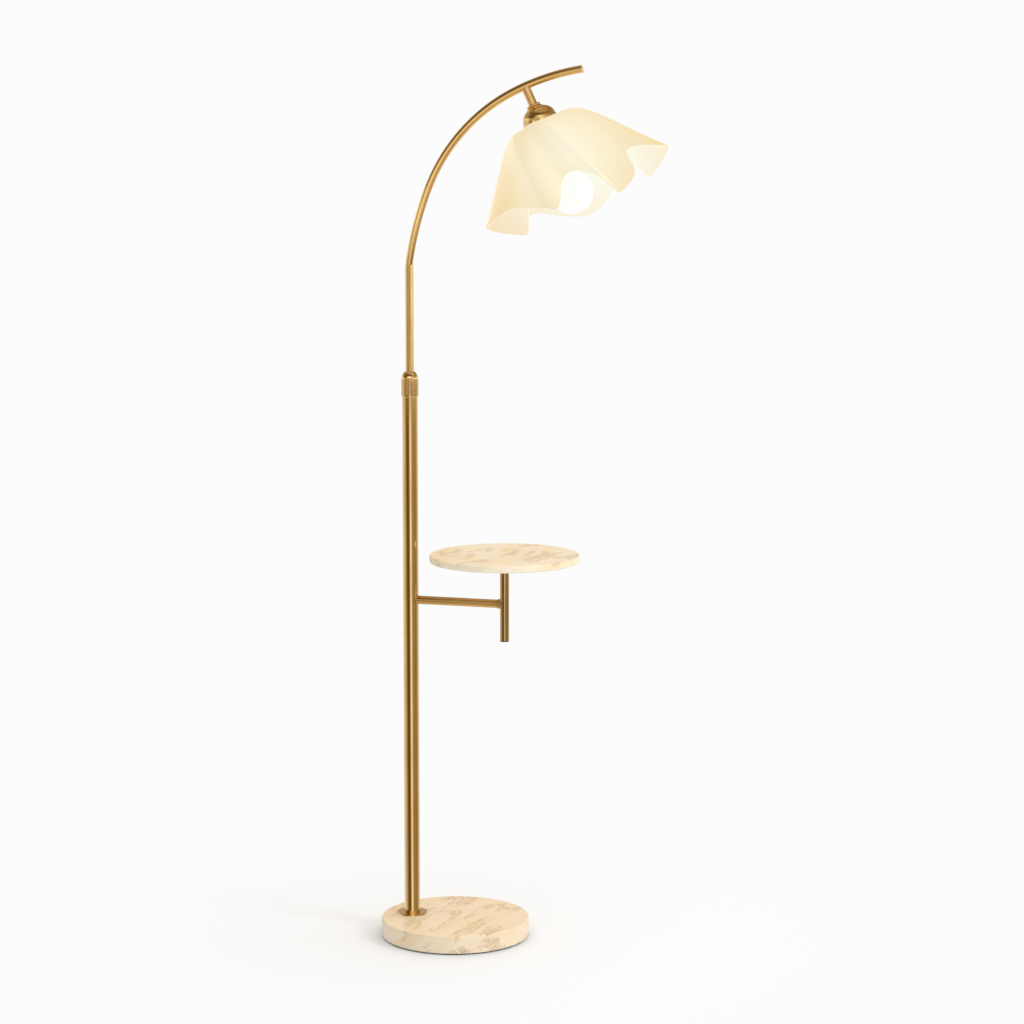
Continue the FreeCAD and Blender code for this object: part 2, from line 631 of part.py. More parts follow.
def make_centre_contact():
    return Part.makeBox(CONTACT_LENGTH, CONTACT_WIDTH, CONTACT_THICK,
                        point(-CONTACT_LENGTH / 2, -CONTACT_WIDTH / 2, INSULATOR_BOTTOM - CONTACT_THICK))


def make_threaded_shell():
    top = INSULATOR_BOTTOM
    return pipe(SHELL_R, SHELL_R - SHELL_WALL, top - SHELL_LENGTH, top)


# Bulb

def bulb_outline(inset):
    """Half outline of the glass from its top edge to the bottom pole, inset by a wall."""
    flare = math.radians(BULB_FLARE_ANGLE)
    globe = BULB_R - inset
    neck = BULB_NECK_R - inset
    join = (globe * math.sin(flare), globe * math.cos(flare) - BULB_CENTRE)
    straight = CAP_BOTTOM - BULB_NECK_PROUD
    out, down = BULB_FLARE_SHARES
    middle = (neck + (join[0] - neck) * out, straight + (join[1] - straight) * down)
    side = (globe * math.cos(flare / 2), -BULB_CENTRE - globe * math.sin(flare / 2))
    return neck, straight, middle, join, side, (0.0, -BULB_CENTRE - globe)


def make_bulb_globe():
    top = CAP_BOTTOM + CAP_LENGTH / 4
    neck, straight, middle, join, side, pole = bulb_outline(0.0)
    in_neck, in_straight, in_middle, in_join, in_side, in_pole = bulb_outline(BULB_WALL)
    inside = [in_pole, [in_side, in_join], [in_middle, (in_neck, in_straight)], (in_neck, top)]
    return lathe(inside + [(neck, top), (neck, straight), [middle, join], [side, pole]])


def make_bulb_cap():
    outline = [(CAP_IN_R, CAP_TOP), (BULB_CONTACT_R + CAP_WALL, CAP_TOP),
               (BULB_CONTACT_R + CAP_WALL, CAP_TOP - CAP_WALL), (CAP_IN_R, CAP_TOP - CAP_WALL),
               (CAP_IN_R, CAP_BOTTOM), (CAP_R, CAP_BOTTOM)]
    first = CAP_TOP - CAP_WALL - CAP_PITCH * (CAP_TURNS - 0.5)
    for k in range(CAP_TURNS):
        crest = first + CAP_PITCH * k
        outline.append((CAP_R - CAP_THREAD_DEPTH, crest - CAP_PITCH / 4))
        outline.append([(CAP_R, crest), (CAP_R - CAP_THREAD_DEPTH, crest + CAP_PITCH / 4)])
    return lathe(outline)


def make_bulb_insulator():
    low = CAP_TOP
    top = CAP_TOP + CAP_INSULATOR_HEIGHT
    return lathe([(0.0, low), (CAP_IN_R, low), (BULB_CONTACT_R, top), (0.0, top)])


def make_bulb_contact():
    low = BULB_TOP - BULB_CONTACT_HEIGHT
    edge = BULB_CONTACT_HEIGHT / 3
    return lathe([(0.0, low), (BULB_CONTACT_R - edge, low), (BULB_CONTACT_R - edge, BULB_TOP - edge),
                  (BULB_CONTACT_R - 2 * edge, BULB_TOP), (0.0, BULB_TOP)])


def make_lamp_plate():
    low = CAP_BOTTOM + CAP_LENGTH / 4 - LAMP_PLATE_DEPTH
    return rod(BULB_NECK_R - BULB_WALL - SLIP, low, low + LAMP_PLATE_THICK)


# Shade

def shade_poles(inset):
    """Control points of the sheet's face, row by row from the neck to the hem, inset along its normal."""
    count = len(HEM_SHARES)
    mean_r, mean_drop = MEAN_HEM_SHARES
    rows = []
    for out, down, fold, drift in FALL_SHARES:
        row = []
        for k, (angle, r_share, drop_share) in enumerate(HEM_SHARES):
            even = 360 * k / count
            turn = math.radians(even + (angle - even) * drift)
            reach = SHADE_NECK_R + (mean_r * SHADE_R - SHADE_NECK_R) * out
            reach += (r_share - mean_r) * SHADE_R * fold
            drop = SHADE_DROP * (mean_drop * down + (drop_share - mean_drop) * fold)
            row.append(point(reach * math.cos(turn), reach * math.sin(turn), -SEAT_GAP - drop))
        rows.append(row)
    if not inset:
        return rows
    inner = []
    for j, row in enumerate(rows):
        above = rows[max(j - 1, 0)]
        below = rows[min(j + 1, len(rows) - 1)]
        new_row = []
        for k, pole in enumerate(row):
            along = row[(k + 1) % count] - row[k - 1]
            normal = along.cross(below[k] - above[k])
            normal.normalize()
            if j < 2:
                normal = -Z_AXIS
            new_row.append(pole + normal * inset)
        inner.append(new_row)
    return inner


def sheet_face(rows):
    """A cubic face, closed round and open from neck to hem, through its rows of control points."""
    count = len(rows[0])
    around = [list(column) for column in zip(*rows)]
    spans = len(rows) - SHEET_DEGREE
    end = [SHEET_DEGREE + 1]
    face = Part.BSplineSurface()
    face.buildFromPolesMultsKnots(around, [1] * (count + 1), end + [1] * (spans - 1) + end,
                                  list(range(count + 1)), list(range(spans + 1)), True, False,
                                  SHEET_DEGREE, SHEET_DEGREE)
    return face


def make_shade():
    outer = sheet_face(shade_poles(0.0))
    inner = sheet_face(shade_poles(SHADE_THICK))
    faces = [outer.toShape(), inner.toShape()]
    last = len(FALL_SHARES) - SHEET_DEGREE
    hem = [surface.vIso(last).toShape() for surface in (outer, inner)]
    faces.append(Part.makeRuledSurface(hem[0], hem[1]))
    faces += [Part.Face(Part.Wire(surface.vIso(0).toShape())) for surface in (outer, inner)]
    shell = Part.makeShell(faces)
    shell.sewShape()
    solid = Part.Solid(shell)
    if solid.Volume < 0:
        solid.reverse()
    hole = rod(NIPPLE_R + SHADE_HOLE_GAP, SHADE_UNDERSIDE - CUT_OVER, CUT_OVER)
    return solid.cut(hole)


# Side arm, post and tray

def make_shelf_arm():
    start = point(POLE_X, 0, ARM_Z)
    arm = rod_along(X_AXIS, ARM_R, start, ARM_REACH)
    arm = arm.cut(rod_along(X_AXIS, ARM_R - ARM_WALL, start, ARM_REACH))
    arm = arm.cut(rod(POLE_R + SLIP, ARM_Z - POLE_R, ARM_Z + POLE_R, POLE_X))
    return arm.cut(rod(POST_R + SLIP, ARM_Z - POLE_R, ARM_Z + POLE_R, POST_X))


def make_arm_ring():
    start = point(POST_X - POST_R - ARM_RING_LENGTH, 0, ARM_Z)
    length = ARM_RING_LENGTH + POST_R / 2
    ring = rod_along(X_AXIS, ARM_RING_R, start, length).cut(rod_along(X_AXIS, ARM_R + SLIP, start, length))
    return ring.cut(rod(POST_R + SLIP, ARM_Z - POLE_R, ARM_Z + POLE_R, POST_X))


def make_arm_plug():
    start = point(POLE_X + POLE_R + RIVET_NUT_PROUD + SEAT_GAP, 0, ARM_Z)
    plug = rod_along(X_AXIS, ARM_R - ARM_WALL - SLIP, start, ARM_PLUG_LENGTH)
    return plug.cut(rod_along(X_AXIS, STUD_R + SLIP, start, ARM_PLUG_LENGTH))


def make_arm_stud():
    reach = POLE_R + RIVET_NUT_PROUD + SEAT_GAP + ARM_PLUG_LENGTH - STUD_INSIDE
    return rod_along(X_AXIS, STUD_R, point(POLE_X + STUD_INSIDE, 0, ARM_Z), reach)


def make_rivet_nut():
    inside = POLE_IN_R - SLIP
    low, high = ARM_Z - 2 * RIVET_NUT_LIP_R, ARM_Z + 2 * RIVET_NUT_LIP_R
    start = point(POLE_X + POLE_IN_R - RIVET_NUT_LIP, 0, ARM_Z)
    lip = rod_along(X_AXIS, RIVET_NUT_LIP_R, start, RIVET_NUT_LIP).common(rod(inside, low, high, POLE_X))
    barrel = rod_along(X_AXIS, RIVET_NUT_R, start, RIVET_NUT_LIP + POLE_WALL + RIVET_NUT_PROUD)
    nut = barrel.fuse(lip).removeSplitter()
    return nut.cut(rod_along(X_AXIS, STUD_R + SLIP, point(POLE_X, 0, ARM_Z), 2 * POLE_R))


def make_shelf_post():
    return pipe(POST_R, POST_R - POST_WALL, POST_BOTTOM, POST_TOP, POST_X)


def make_post_cap():
    disc = rod(POST_R, POST_BOTTOM - POST_CAP_THICK, POST_BOTTOM, POST_X)
    spigot_r = POST_R - POST_WALL - SLIP
    spigot = pipe(spigot_r, spigot_r - POST_CAP_WALL, POST_BOTTOM, POST_BOTTOM + POST_CAP_SPIGOT, POST_X)
    return disc.fuse(spigot).removeSplitter()


def tray_screw_places():
    turns = [2 * math.pi * k / TRAY_SCREWS for k in range(TRAY_SCREWS)]
    return [(POST_X + TRAY_SCREW_CIRCLE_R * math.cos(t), TRAY_SCREW_CIRCLE_R * math.sin(t)) for t in turns]


def make_tray_flange():
    disc = rod(TRAY_FLANGE_R, TRAY_FLANGE_BOTTOM, TRAY_UNDERSIDE, POST_X)
    hub_low = TRAY_FLANGE_BOTTOM - TRAY_HUB_HEIGHT
    hub = pipe(TRAY_HUB_R, POST_R + SLIP, hub_low, TRAY_FLANGE_BOTTOM, POST_X)
    flange = disc.fuse(hub).removeSplitter()
    for x, y in tray_screw_places():
        flange = flange.cut(rod(TRAY_SCREW_R + SLIP, TRAY_FLANGE_BOTTOM - CUT_OVER,
                                TRAY_UNDERSIDE + CUT_OVER, x, y))
    hole = rod_along(Y_AXIS, GRUB_R + SLIP, point(POST_X, 0, TRAY_FLANGE_BOTTOM - TRAY_HUB_HEIGHT / 2),
                     TRAY_HUB_R + CUT_OVER)
    return flange.cut(hole)


def make_post_grub():
    start = point(POST_X, POST_R + SLIP, TRAY_FLANGE_BOTTOM - TRAY_HUB_HEIGHT / 2)
    socket = point(POST_X, POST_R + SLIP + GRUB_LENGTH / 2, start.z)
    screw = rod_along(Y_AXIS, GRUB_R, start, GRUB_LENGTH)
    return screw.cut(rod_along(Y_AXIS, GRUB_R / 2, socket, GRUB_LENGTH))


def make_tray_screws():
    screws = []
    for x, y in tray_screw_places():
        head_low = TRAY_FLANGE_BOTTOM - TRAY_HEAD_THICK
        head = rod(TRAY_HEAD_R, head_low, TRAY_FLANGE_BOTTOM, x, y)
        head = round_rims(head, TRAY_HEAD_THICK / 2, [head_low])
        shank = rod(TRAY_SCREW_R, TRAY_FLANGE_BOTTOM, TRAY_FLANGE_BOTTOM + TRAY_SCREW_LENGTH, x, y)
        screw = head.fuse(shank).removeSplitter()
        for long_side, short_side in ((TRAY_HEAD_R, TRAY_SLOT), (TRAY_SLOT, TRAY_HEAD_R)):
            slot = Part.makeBox(long_side, short_side, TRAY_HEAD_THICK / 2 + CUT_OVER,
                                point(x - long_side / 2, y - short_side / 2, head_low - CUT_OVER))
            screw = screw.cut(slot)
        screws.append(screw)
    return Part.makeCompound(screws)


def make_tray_inserts():
    top = TRAY_UNDERSIDE + INSERT_LENGTH
    return Part.makeCompound([pipe(INSERT_R, TRAY_SCREW_R + SLIP, TRAY_UNDERSIDE, top, x, y)
                              for x, y in tray_screw_places()])


def make_marble_tray():
    tray = rod(TRAY_R, TRAY_UNDERSIDE, TRAY_TOP, POST_X)
    tray = round_rims(tray, TRAY_EDGE, [TRAY_UNDERSIDE, TRAY_TOP])
    for x, y in tray_screw_places():
        hole_end = TRAY_UNDERSIDE + INSERT_LENGTH + SLIP
        tray = tray.cut(rod(INSERT_R + SLIP, TRAY_UNDERSIDE - CUT_OVER, hole_end, x, y))
    return tray


STAND = {
    "marble_base": make_marble_base, "felt_pad": make_felt_pad, "lead_grommet": make_grommet,
    "base_rod": make_base_rod, "base_washer": make_base_washer, "base_nut": make_base_nut,
    "base_flange": make_base_flange, "foot_plug": make_foot_plug, "pole_tube": make_pole,
    "top_bush": make_top_bush, "clamp_bush": make_clamp_bush, "locking_collar": make_locking_collar,
    "upper_tube": make_upper_tube, "guide_sleeve": make_guide_sleeve, "stop_rings": make_stop_rings,
    "arc_tube": make_arc_tube, "arc_joint_screw": make_joint_screw, "arc_end_cap": make_arc_end_cap,
    "stem_tube": make_stem, "rivet_nut": make_rivet_nut, "arm_stud": make_arm_stud,
    "arm_plug": make_arm_plug, "shelf_arm": make_shelf_arm, "arm_ring": make_arm_ring,
    "shelf_post": make_shelf_post, "post_end_cap": make_post_cap, "tray_flange": make_tray_flange,
    "post_grub_screw": make_post_grub, "tray_screws": make_tray_screws, "tray_inserts": make_tray_inserts,
    "marble_tray": make_marble_tray,
}

HEAD = {
    "neck_ring": make_neck_ring, "holder_dome": make_dome, "dome_nut": make_dome_nut,
    "holder_nipple": make_nipple, "shade": make_shade, "shade_washer": make_shade_washer,
    "shade_nut": make_shade_nut,
    "holder_cap": make_holder_cap, "holder_body": make_holder_body, "holder_insulator": make_holder_insulator,
    "terminal_screws": make_terminal_screws, "centre_contact": make_centre_contact,
    "threaded_shell": make_threaded_shell, "bulb_globe": make_bulb_globe, "bulb_cap": make_bulb_cap,
    "bulb_insulator": make_bulb_insulator, "bulb_contact": make_bulb_contact, "lamp_plate": make_lamp_plate,
}


def main():
    os.makedirs("parts", exist_ok=True)
    for name, make in STAND.items():
        save(name, make())
    for name, make in HEAD.items():
        shape = make()
        shape.Placement = head_place().multiply(shape.Placement)
        save(name, shape)


main()
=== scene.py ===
"""Dresses the shelf floor lamp: stone, brass, the lit opal sheet and everything that holds them."""

import math

import bmesh
import bpy
import numpy as np
from bpy.props import FloatProperty, FloatVectorProperty, PointerProperty
from bpy.types import Operator, Panel, PropertyGroup
from mathutils import Matrix, Vector


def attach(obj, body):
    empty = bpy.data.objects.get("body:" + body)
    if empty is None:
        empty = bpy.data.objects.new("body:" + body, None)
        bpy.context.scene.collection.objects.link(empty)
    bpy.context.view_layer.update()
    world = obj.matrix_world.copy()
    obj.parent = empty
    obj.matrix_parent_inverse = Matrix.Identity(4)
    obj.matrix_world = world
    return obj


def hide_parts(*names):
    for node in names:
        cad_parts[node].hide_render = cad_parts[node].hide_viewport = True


bl_info = {
    "name": "Shelf Floor Lamp",
    "version": (1, 0, 0),
    "blender": (4, 5, 0),
    "location": "View3D > Sidebar > Shelf Lamp",
    "description": "Builds the looks of a floor lamp with a side tray and a draped shade",
    "category": "Object",
}

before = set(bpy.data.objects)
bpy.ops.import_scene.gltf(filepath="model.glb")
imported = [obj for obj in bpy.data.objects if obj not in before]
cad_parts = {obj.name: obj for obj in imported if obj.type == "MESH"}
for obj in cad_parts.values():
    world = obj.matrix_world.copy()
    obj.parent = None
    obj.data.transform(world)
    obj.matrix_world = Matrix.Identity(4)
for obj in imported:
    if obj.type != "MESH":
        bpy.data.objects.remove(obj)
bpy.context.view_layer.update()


# Shapes shared with the construction

# Where the head stands: the dome's mouth, and how far its stem leans
DOME_MOUTH = Vector((0.1668687, 0.0, 1.5391877))
STEM_LEAN = math.radians(25)

# The sheet's hem, anticlockwise from +X: angle in degrees, share of its reach, share of its fall
HEM = [
    (0, 1.03, 0.76), (7, 0.99, 0.795), (17, 0.885, 0.865), (25.5, 0.795, 0.93),
    (29.5, 0.76, 0.96), (32.5, 0.735, 0.905), (35.5, 0.7, 0.785), (43.5, 0.63, 0.725),
    (53, 0.595, 0.785), (64, 0.59, 0.875), (75, 0.605, 0.94), (87, 0.63, 0.995),
    (98, 0.64, 1.015), (109, 0.615, 0.985), (119, 0.615, 0.925), (129.5, 0.66, 0.845),
    (138.5, 0.725, 0.755), (144.5, 0.775, 0.765), (147, 0.78, 0.915), (150.5, 0.79, 0.95),
    (159, 0.835, 0.885), (170, 0.905, 0.795), (180, 0.925, 0.735), (190, 0.84, 0.71),
    (201.5, 0.735, 0.7), (214.5, 0.665, 0.695), (228.5, 0.645, 0.72), (242, 0.67, 0.765),
    (254, 0.73, 0.825), (263.5, 0.79, 0.87), (268.5, 0.805, 0.92), (272.5, 0.795, 0.94),
    (275, 0.7, 0.865), (277.5, 0.54, 0.725), (284, 0.455, 0.64), (293, 0.455, 0.615),
    (302, 0.575, 0.675), (306.5, 0.695, 0.765), (310, 0.775, 0.87), (312.5, 0.805, 0.975),
    (315, 0.79, 1.035), (319.5, 0.775, 1.02), (323.5, 0.77, 0.995), (331.5, 0.8, 0.945),
    (337, 0.8, 0.845), (339, 0.72, 0.675), (345, 0.745, 0.62), (352, 0.91, 0.68),
]
# From neck to hem: share of the way out, of the way down, of the fold's depth, of its sideways drift
FALL = [
    (0.0, 0.0, 0.0, 0.0), (0.12, 0.0, 0.0, 0.05), (0.275, 0.02, 0.10, 0.2), (0.405, 0.125, 0.26, 0.4),
    (0.565, 0.345, 0.45, 0.6), (0.72, 0.585, 0.64, 0.78), (0.86, 0.80, 0.83, 0.9), (1.0, 1.0, 1.0, 1.0),
]
MEAN_HEM = (0.74, 0.793)
SHEET_NECK = 0.031
SHEET_HOLE = 0.0056
SHEET_SEAT = 0.0003
BULB_DROP = 0.140
# Where the sheet's painted glow is brightest, on its outer and on its inner face; the outer place is not
# the bulb but a point above it and out towards the front, mirrored to the back
SHEET_BRIGHTEST = (0.259, 0.150, 1.517)
INSIDE_BRIGHTEST = (0.238, 0.0, 1.437)
# From that place, where the painted light starts to fall off and where it has done so
SHEET_FADE = (0.0, 0.246)
INSIDE_FADE = (0.05, 0.31)
# How squarely a face looks away from the bulb: an inner one below the first, an outer one above the second
INNER_FACE, OUTER_FACE = -0.12, 0.02

# Nodes by what they are made of
ZINC_NODES = ("base_rod", "base_washer", "base_nut", "foot_plug", "stop_rings", "arc_joint_screw",
              "rivet_nut", "arm_stud", "arm_plug", "post_grub_screw", "tray_screws", "dome_nut",
              "holder_nipple", "shade_washer", "shade_nut", "terminal_screws")
CONTACT_NODES = ("tray_inserts", "centre_contact", "threaded_shell")
NYLON_NODES = ("clamp_bush", "guide_sleeve")
HOLDER_NODES = ("holder_cap", "holder_body")
BULB_METAL_NODES = ("bulb_cap", "bulb_contact", "lamp_plate")


# Settings that a user would change

def colour(name, description, default):
    """A colour setting."""
    return FloatVectorProperty(name=name, description=description, subtype="COLOR", size=3,
                               min=0.0, max=1.0, default=default)


def length(name, description, default):
    """A setting in metres."""
    return FloatProperty(name=name, description=description, unit="LENGTH", min=0.0, precision=4,
                         default=default)


class LampSizes(PropertyGroup):
    sheet_reach: length("Sheet reach", "Distance from the stem's axis to a hem share of 1", 0.195)
    sheet_fall: length("Sheet fall", "Drop from the sheet's flat top to a hem share of 1", 0.180)
    sheet_thickness: length("Sheet thickness", "Thickness of the formed opal sheet", 0.0026)
    hem_edge: length("Hem edge", "Width of the polished edge round the hem", 0.0007)


class LampFinishes(PropertyGroup):
    brass: colour("Brass", "Lacquered brass of the tubes and the dome", (0.80, 0.53, 0.205))
    brass_tarnish: colour("Brass tarnish", "Brass where the lacquer has dulled", (0.72, 0.455, 0.16))
    stone: colour("Stone", "Ground of the base's cream marble", (0.905, 0.785, 0.60))
    stone_warm: colour("Warm stone", "Honey-coloured clouds in the base's marble", (0.875, 0.71, 0.47))
    tray_stone: colour("Tray stone", "Ground of the tray's cream marble", (0.93, 0.85, 0.69))
    tray_warm: colour("Warm tray stone", "Honey-coloured clouds in the tray's marble",
                      (0.91, 0.78, 0.53))
    vein: colour("Vein", "Grey-brown lines of the marble", (0.38, 0.26, 0.13))
    stain: colour("Stain", "Tan stains along the veins", (0.60, 0.42, 0.21))
    # The glow colours below are painted light: emission on the sheet in place of the lit bulb's light,
    # brightest at a set place; the sheet's own colour is kept dark so the glow carries its brightness
    sheet: colour("Sheet", "Opal sheet of the shade", (0.15, 0.14, 0.115))
    sheet_near: colour("Glow near the bulb", "Light through the sheet beside the bulb",
                       (0.828, 0.808, 0.665))
    sheet_far: colour("Glow away from the bulb", "Light through the sheet far from the bulb",
                      (0.707, 0.536, 0.239))
    inside_near: colour("Inside near the bulb", "Light on the sheet's inner face beside the bulb",
                        (0.83, 0.86, 0.76))
    inside_far: colour("Inside away from the bulb", "Light on the sheet's inner face far from the bulb",
                       (0.745, 0.44, 0.13))
    sheet_glow: FloatProperty(name="Glow", description="Strength of the light through the sheet",
                              min=0.0, default=1.0)
    bulb_glow: FloatProperty(name="Bulb glow", description="Strength of the lit globe",
                             min=0.0, default=0.70)


class StudioSettings(PropertyGroup):
    camera_place: FloatVectorProperty(name="Camera place", description="Where the camera stands",
                                      subtype="TRANSLATION", unit="LENGTH", size=3,
                                      default=(1.6825, -5.2735, 1.6117))
    camera_turn: FloatProperty(name="Camera turn", description="Turn of the view from +Y", subtype="ANGLE",
                               default=math.radians(16.5796))
    camera_dip: FloatProperty(name="Camera dip", description="How far the view looks down", subtype="ANGLE",
                              default=math.radians(8.2004))
    focal_share: FloatProperty(name="Focal share",
                               description="Focal length as a share of the image's side",
                               default=2.9191)
    floor: colour("Floor", "Pale floor", (0.74, 0.81, 0.93))
    backdrop: FloatProperty(name="Backdrop",
                            description="White of the backdrop and the open floor, 1 is paper white",
                            min=0.0, max=1.0, default=0.973)
    floor_lift: FloatProperty(name="Floor lift",
                              description="How far the floor round the base is lifted to white",
                              min=0.0, max=1.0, default=0.16)
    side_tint: colour("Side light", "Tint of the soft light from the sides", (0.79, 0.84, 0.895))
    top_tint: colour("Top light", "Tint of the soft light from above", (1.0, 0.84, 0.64))
    room_light: FloatProperty(name="Room light", description="Level of the soft light from all round",
                              min=0.0, default=1.20)
    left_share: FloatProperty(name="Left share",
                              description="The soft light from the left as a share of the rest",
                              min=0.0, max=1.0, default=0.55)


# Node helpers

WHITE = (1.0, 1.0, 1.0, 1.0)
# The colour sockets of a Mix node: its two inputs and its output
BLEND_A, BLEND_B, BLENDED = 6, 7, 2


def add(tree, kind, **values):
    """A node with its settings, or its inputs' values, given by name; _ stands for a space."""
    made = tree.nodes.new(kind)
    for name, value in values.items():
        if hasattr(made, name):
            setattr(made, name, value)
        else:
            made.inputs[name.replace("_", " ")].default_value = value
    return made


def link(tree, source, out, target, into):
    """Join a node's output to another's input."""
    tree.links.new(source.outputs[out], target.inputs[into])


def ramp(tree, source, out, low, high, to_low=0.0, to_high=1.0):
    """A smooth step of a value between low and high."""
    step = add(tree, "ShaderNodeMapRange", interpolation_type="SMOOTHSTEP", From_Min=low, From_Max=high,
               To_Min=to_low, To_Max=to_high)
    link(tree, source, out, step, "Value")
    return step


def times(tree, one, out_one, two, out_two, operation="MULTIPLY"):
    """The product of two values, or what another operation makes of them."""
    product = add(tree, "ShaderNodeMath", operation=operation)
    tree.links.new(one.outputs[out_one], product.inputs[0])
    tree.links.new(two.outputs[out_two], product.inputs[1])
    return product


def with_number(tree, operation, source, out, number):
    """A value and a plain number, joined by an operation."""
    made = add(tree, "ShaderNodeMath", operation=operation)
    link(tree, source, out, made, 0)
    made.inputs[1].default_value = number
    return made


def blend_shaders(tree, mask, out, first, second):
    """Mix two shaders, each a (node, output) pair, by a mask."""
    mixed = tree.nodes.new("ShaderNodeMixShader")
    link(tree, mask, out, mixed, 0)
    link(tree, *first, mixed, 1)
    link(tree, *second, mixed, 2)
    return mixed


def seen_as(tree, lit, seen):
    """One shader for the light on things, and another for what the camera sees, also through glass."""
    path = tree.nodes.new("ShaderNodeLightPath")
    straight = times(tree, path, "Is Camera Ray", path, "Is Transmission Ray", "MAXIMUM")
    return blend_shaders(tree, straight, "Value", lit, seen)


def blend_colours(tree, mask, out, first, second):
    """Mix two colours, each a value or a (node, output) pair, by a mask."""
    mixed = tree.nodes.new("ShaderNodeMix")
    mixed.data_type = "RGBA"
    tree.links.new(mask.outputs[out], mixed.inputs["Factor"])
    for socket, source in ((mixed.inputs[BLEND_A], first), (mixed.inputs[BLEND_B], second)):
        if isinstance(source, tuple) and hasattr(source[0], "outputs"):
            tree.links.new(source[0].outputs[source[1]], socket)
        else:
            socket.default_value = (*source[:3], 1.0)
    return mixed


def new_group(name, inputs, outputs):
    """A shader node group with named sockets; inputs are (name, kind, default)."""
    group = bpy.data.node_groups.new(name, "ShaderNodeTree")
    for title, kind, default in inputs:
        socket = group.interface.new_socket(title, in_out="INPUT", socket_type="NodeSocket" + kind)
        if default is not None:
            socket.default_value = default
    for title, kind in outputs:
        group.interface.new_socket(title, in_out="OUTPUT", socket_type="NodeSocket" + kind)
    return group, group.nodes.new("NodeGroupInput"), group.nodes.new("NodeGroupOutput")


def use_group(tree, group, **values):
    """A shared group in a material, with its inputs' values given by name."""
    made = tree.nodes.new("ShaderNodeGroup")
    made.node_tree = group
    for name, value in values.items():
        made.inputs[name.replace("_", " ")].default_value = value
    return made


def new_material(name, **values):
    """A material with a Principled shader, whose constant sockets are given by name."""
    material = bpy.data.materials.new(name)
    material.use_nodes = True
    tree = material.node_tree
    shader = tree.nodes["Principled BSDF"]
    for title, value in values.items():
        socket = shader.inputs[title.replace("_", " ")]
        socket.default_value = (*value, 1.0) if socket.type == "RGBA" else value
    place = tree.nodes.new("ShaderNodeTexCoord")
    return material, tree, shader, place


def bump(tree, shader, source, out, distance, strength=1.0):
    """Feed a height to the shader's normal; distance is in metres."""
    made = add(tree, "ShaderNodeBump", Strength=strength, Distance=distance)
    link(tree, source, out, made, "Height")
    link(tree, made, "Normal", shader, "Normal")


def dress(material, *names):
    """Give CAD nodes a material."""
    for name in names:
        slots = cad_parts[name].data.materials
        slots.clear()
        slots.append(material)


# Effects that several materials share

def build_wear():
    """Fine rubbing: long faint scratches and slow cloudy dulling."""
    group, start, end = new_group(
        "Fine wear",
        [("Vector", "Vector", None), ("Clouds", "Float", 9.0), ("Scratches", "Float", 260.0),
         ("Along", "Vector", (1.0, 1.0, 0.04))],
        [("Dulling", "Float"), ("Scratch", "Float")])
    clouds = add(group, "ShaderNodeTexNoise", Detail=4.0, Roughness=0.6)
    link(group, start, "Vector", clouds, "Vector")
    link(group, start, "Clouds", clouds, "Scale")
    dulling = ramp(group, clouds, "Fac", 0.35, 0.72)
    link(group, dulling, "Result", end, "Dulling")
    stretch = add(group, "ShaderNodeVectorMath", operation="MULTIPLY")
    link(group, start, "Vector", stretch, 0)
    link(group, start, "Along", stretch, 1)
    lines = add(group, "ShaderNodeTexNoise", Detail=3.0, Roughness=0.55)
    link(group, stretch, "Vector", lines, "Vector")
    link(group, start, "Scratches", lines, "Scale")
    link(group, lines, "Fac", end, "Scratch")
    return group


# Marble: which way its planes lie, how the pattern is drawn along them, and the soft edge of its patches
VEIN_SLANT = (math.radians(7), math.radians(37), math.radians(-6))
VEIN_DRAW = (0.42, 0.22, 1.5)
PATCH_EDGE = 0.09


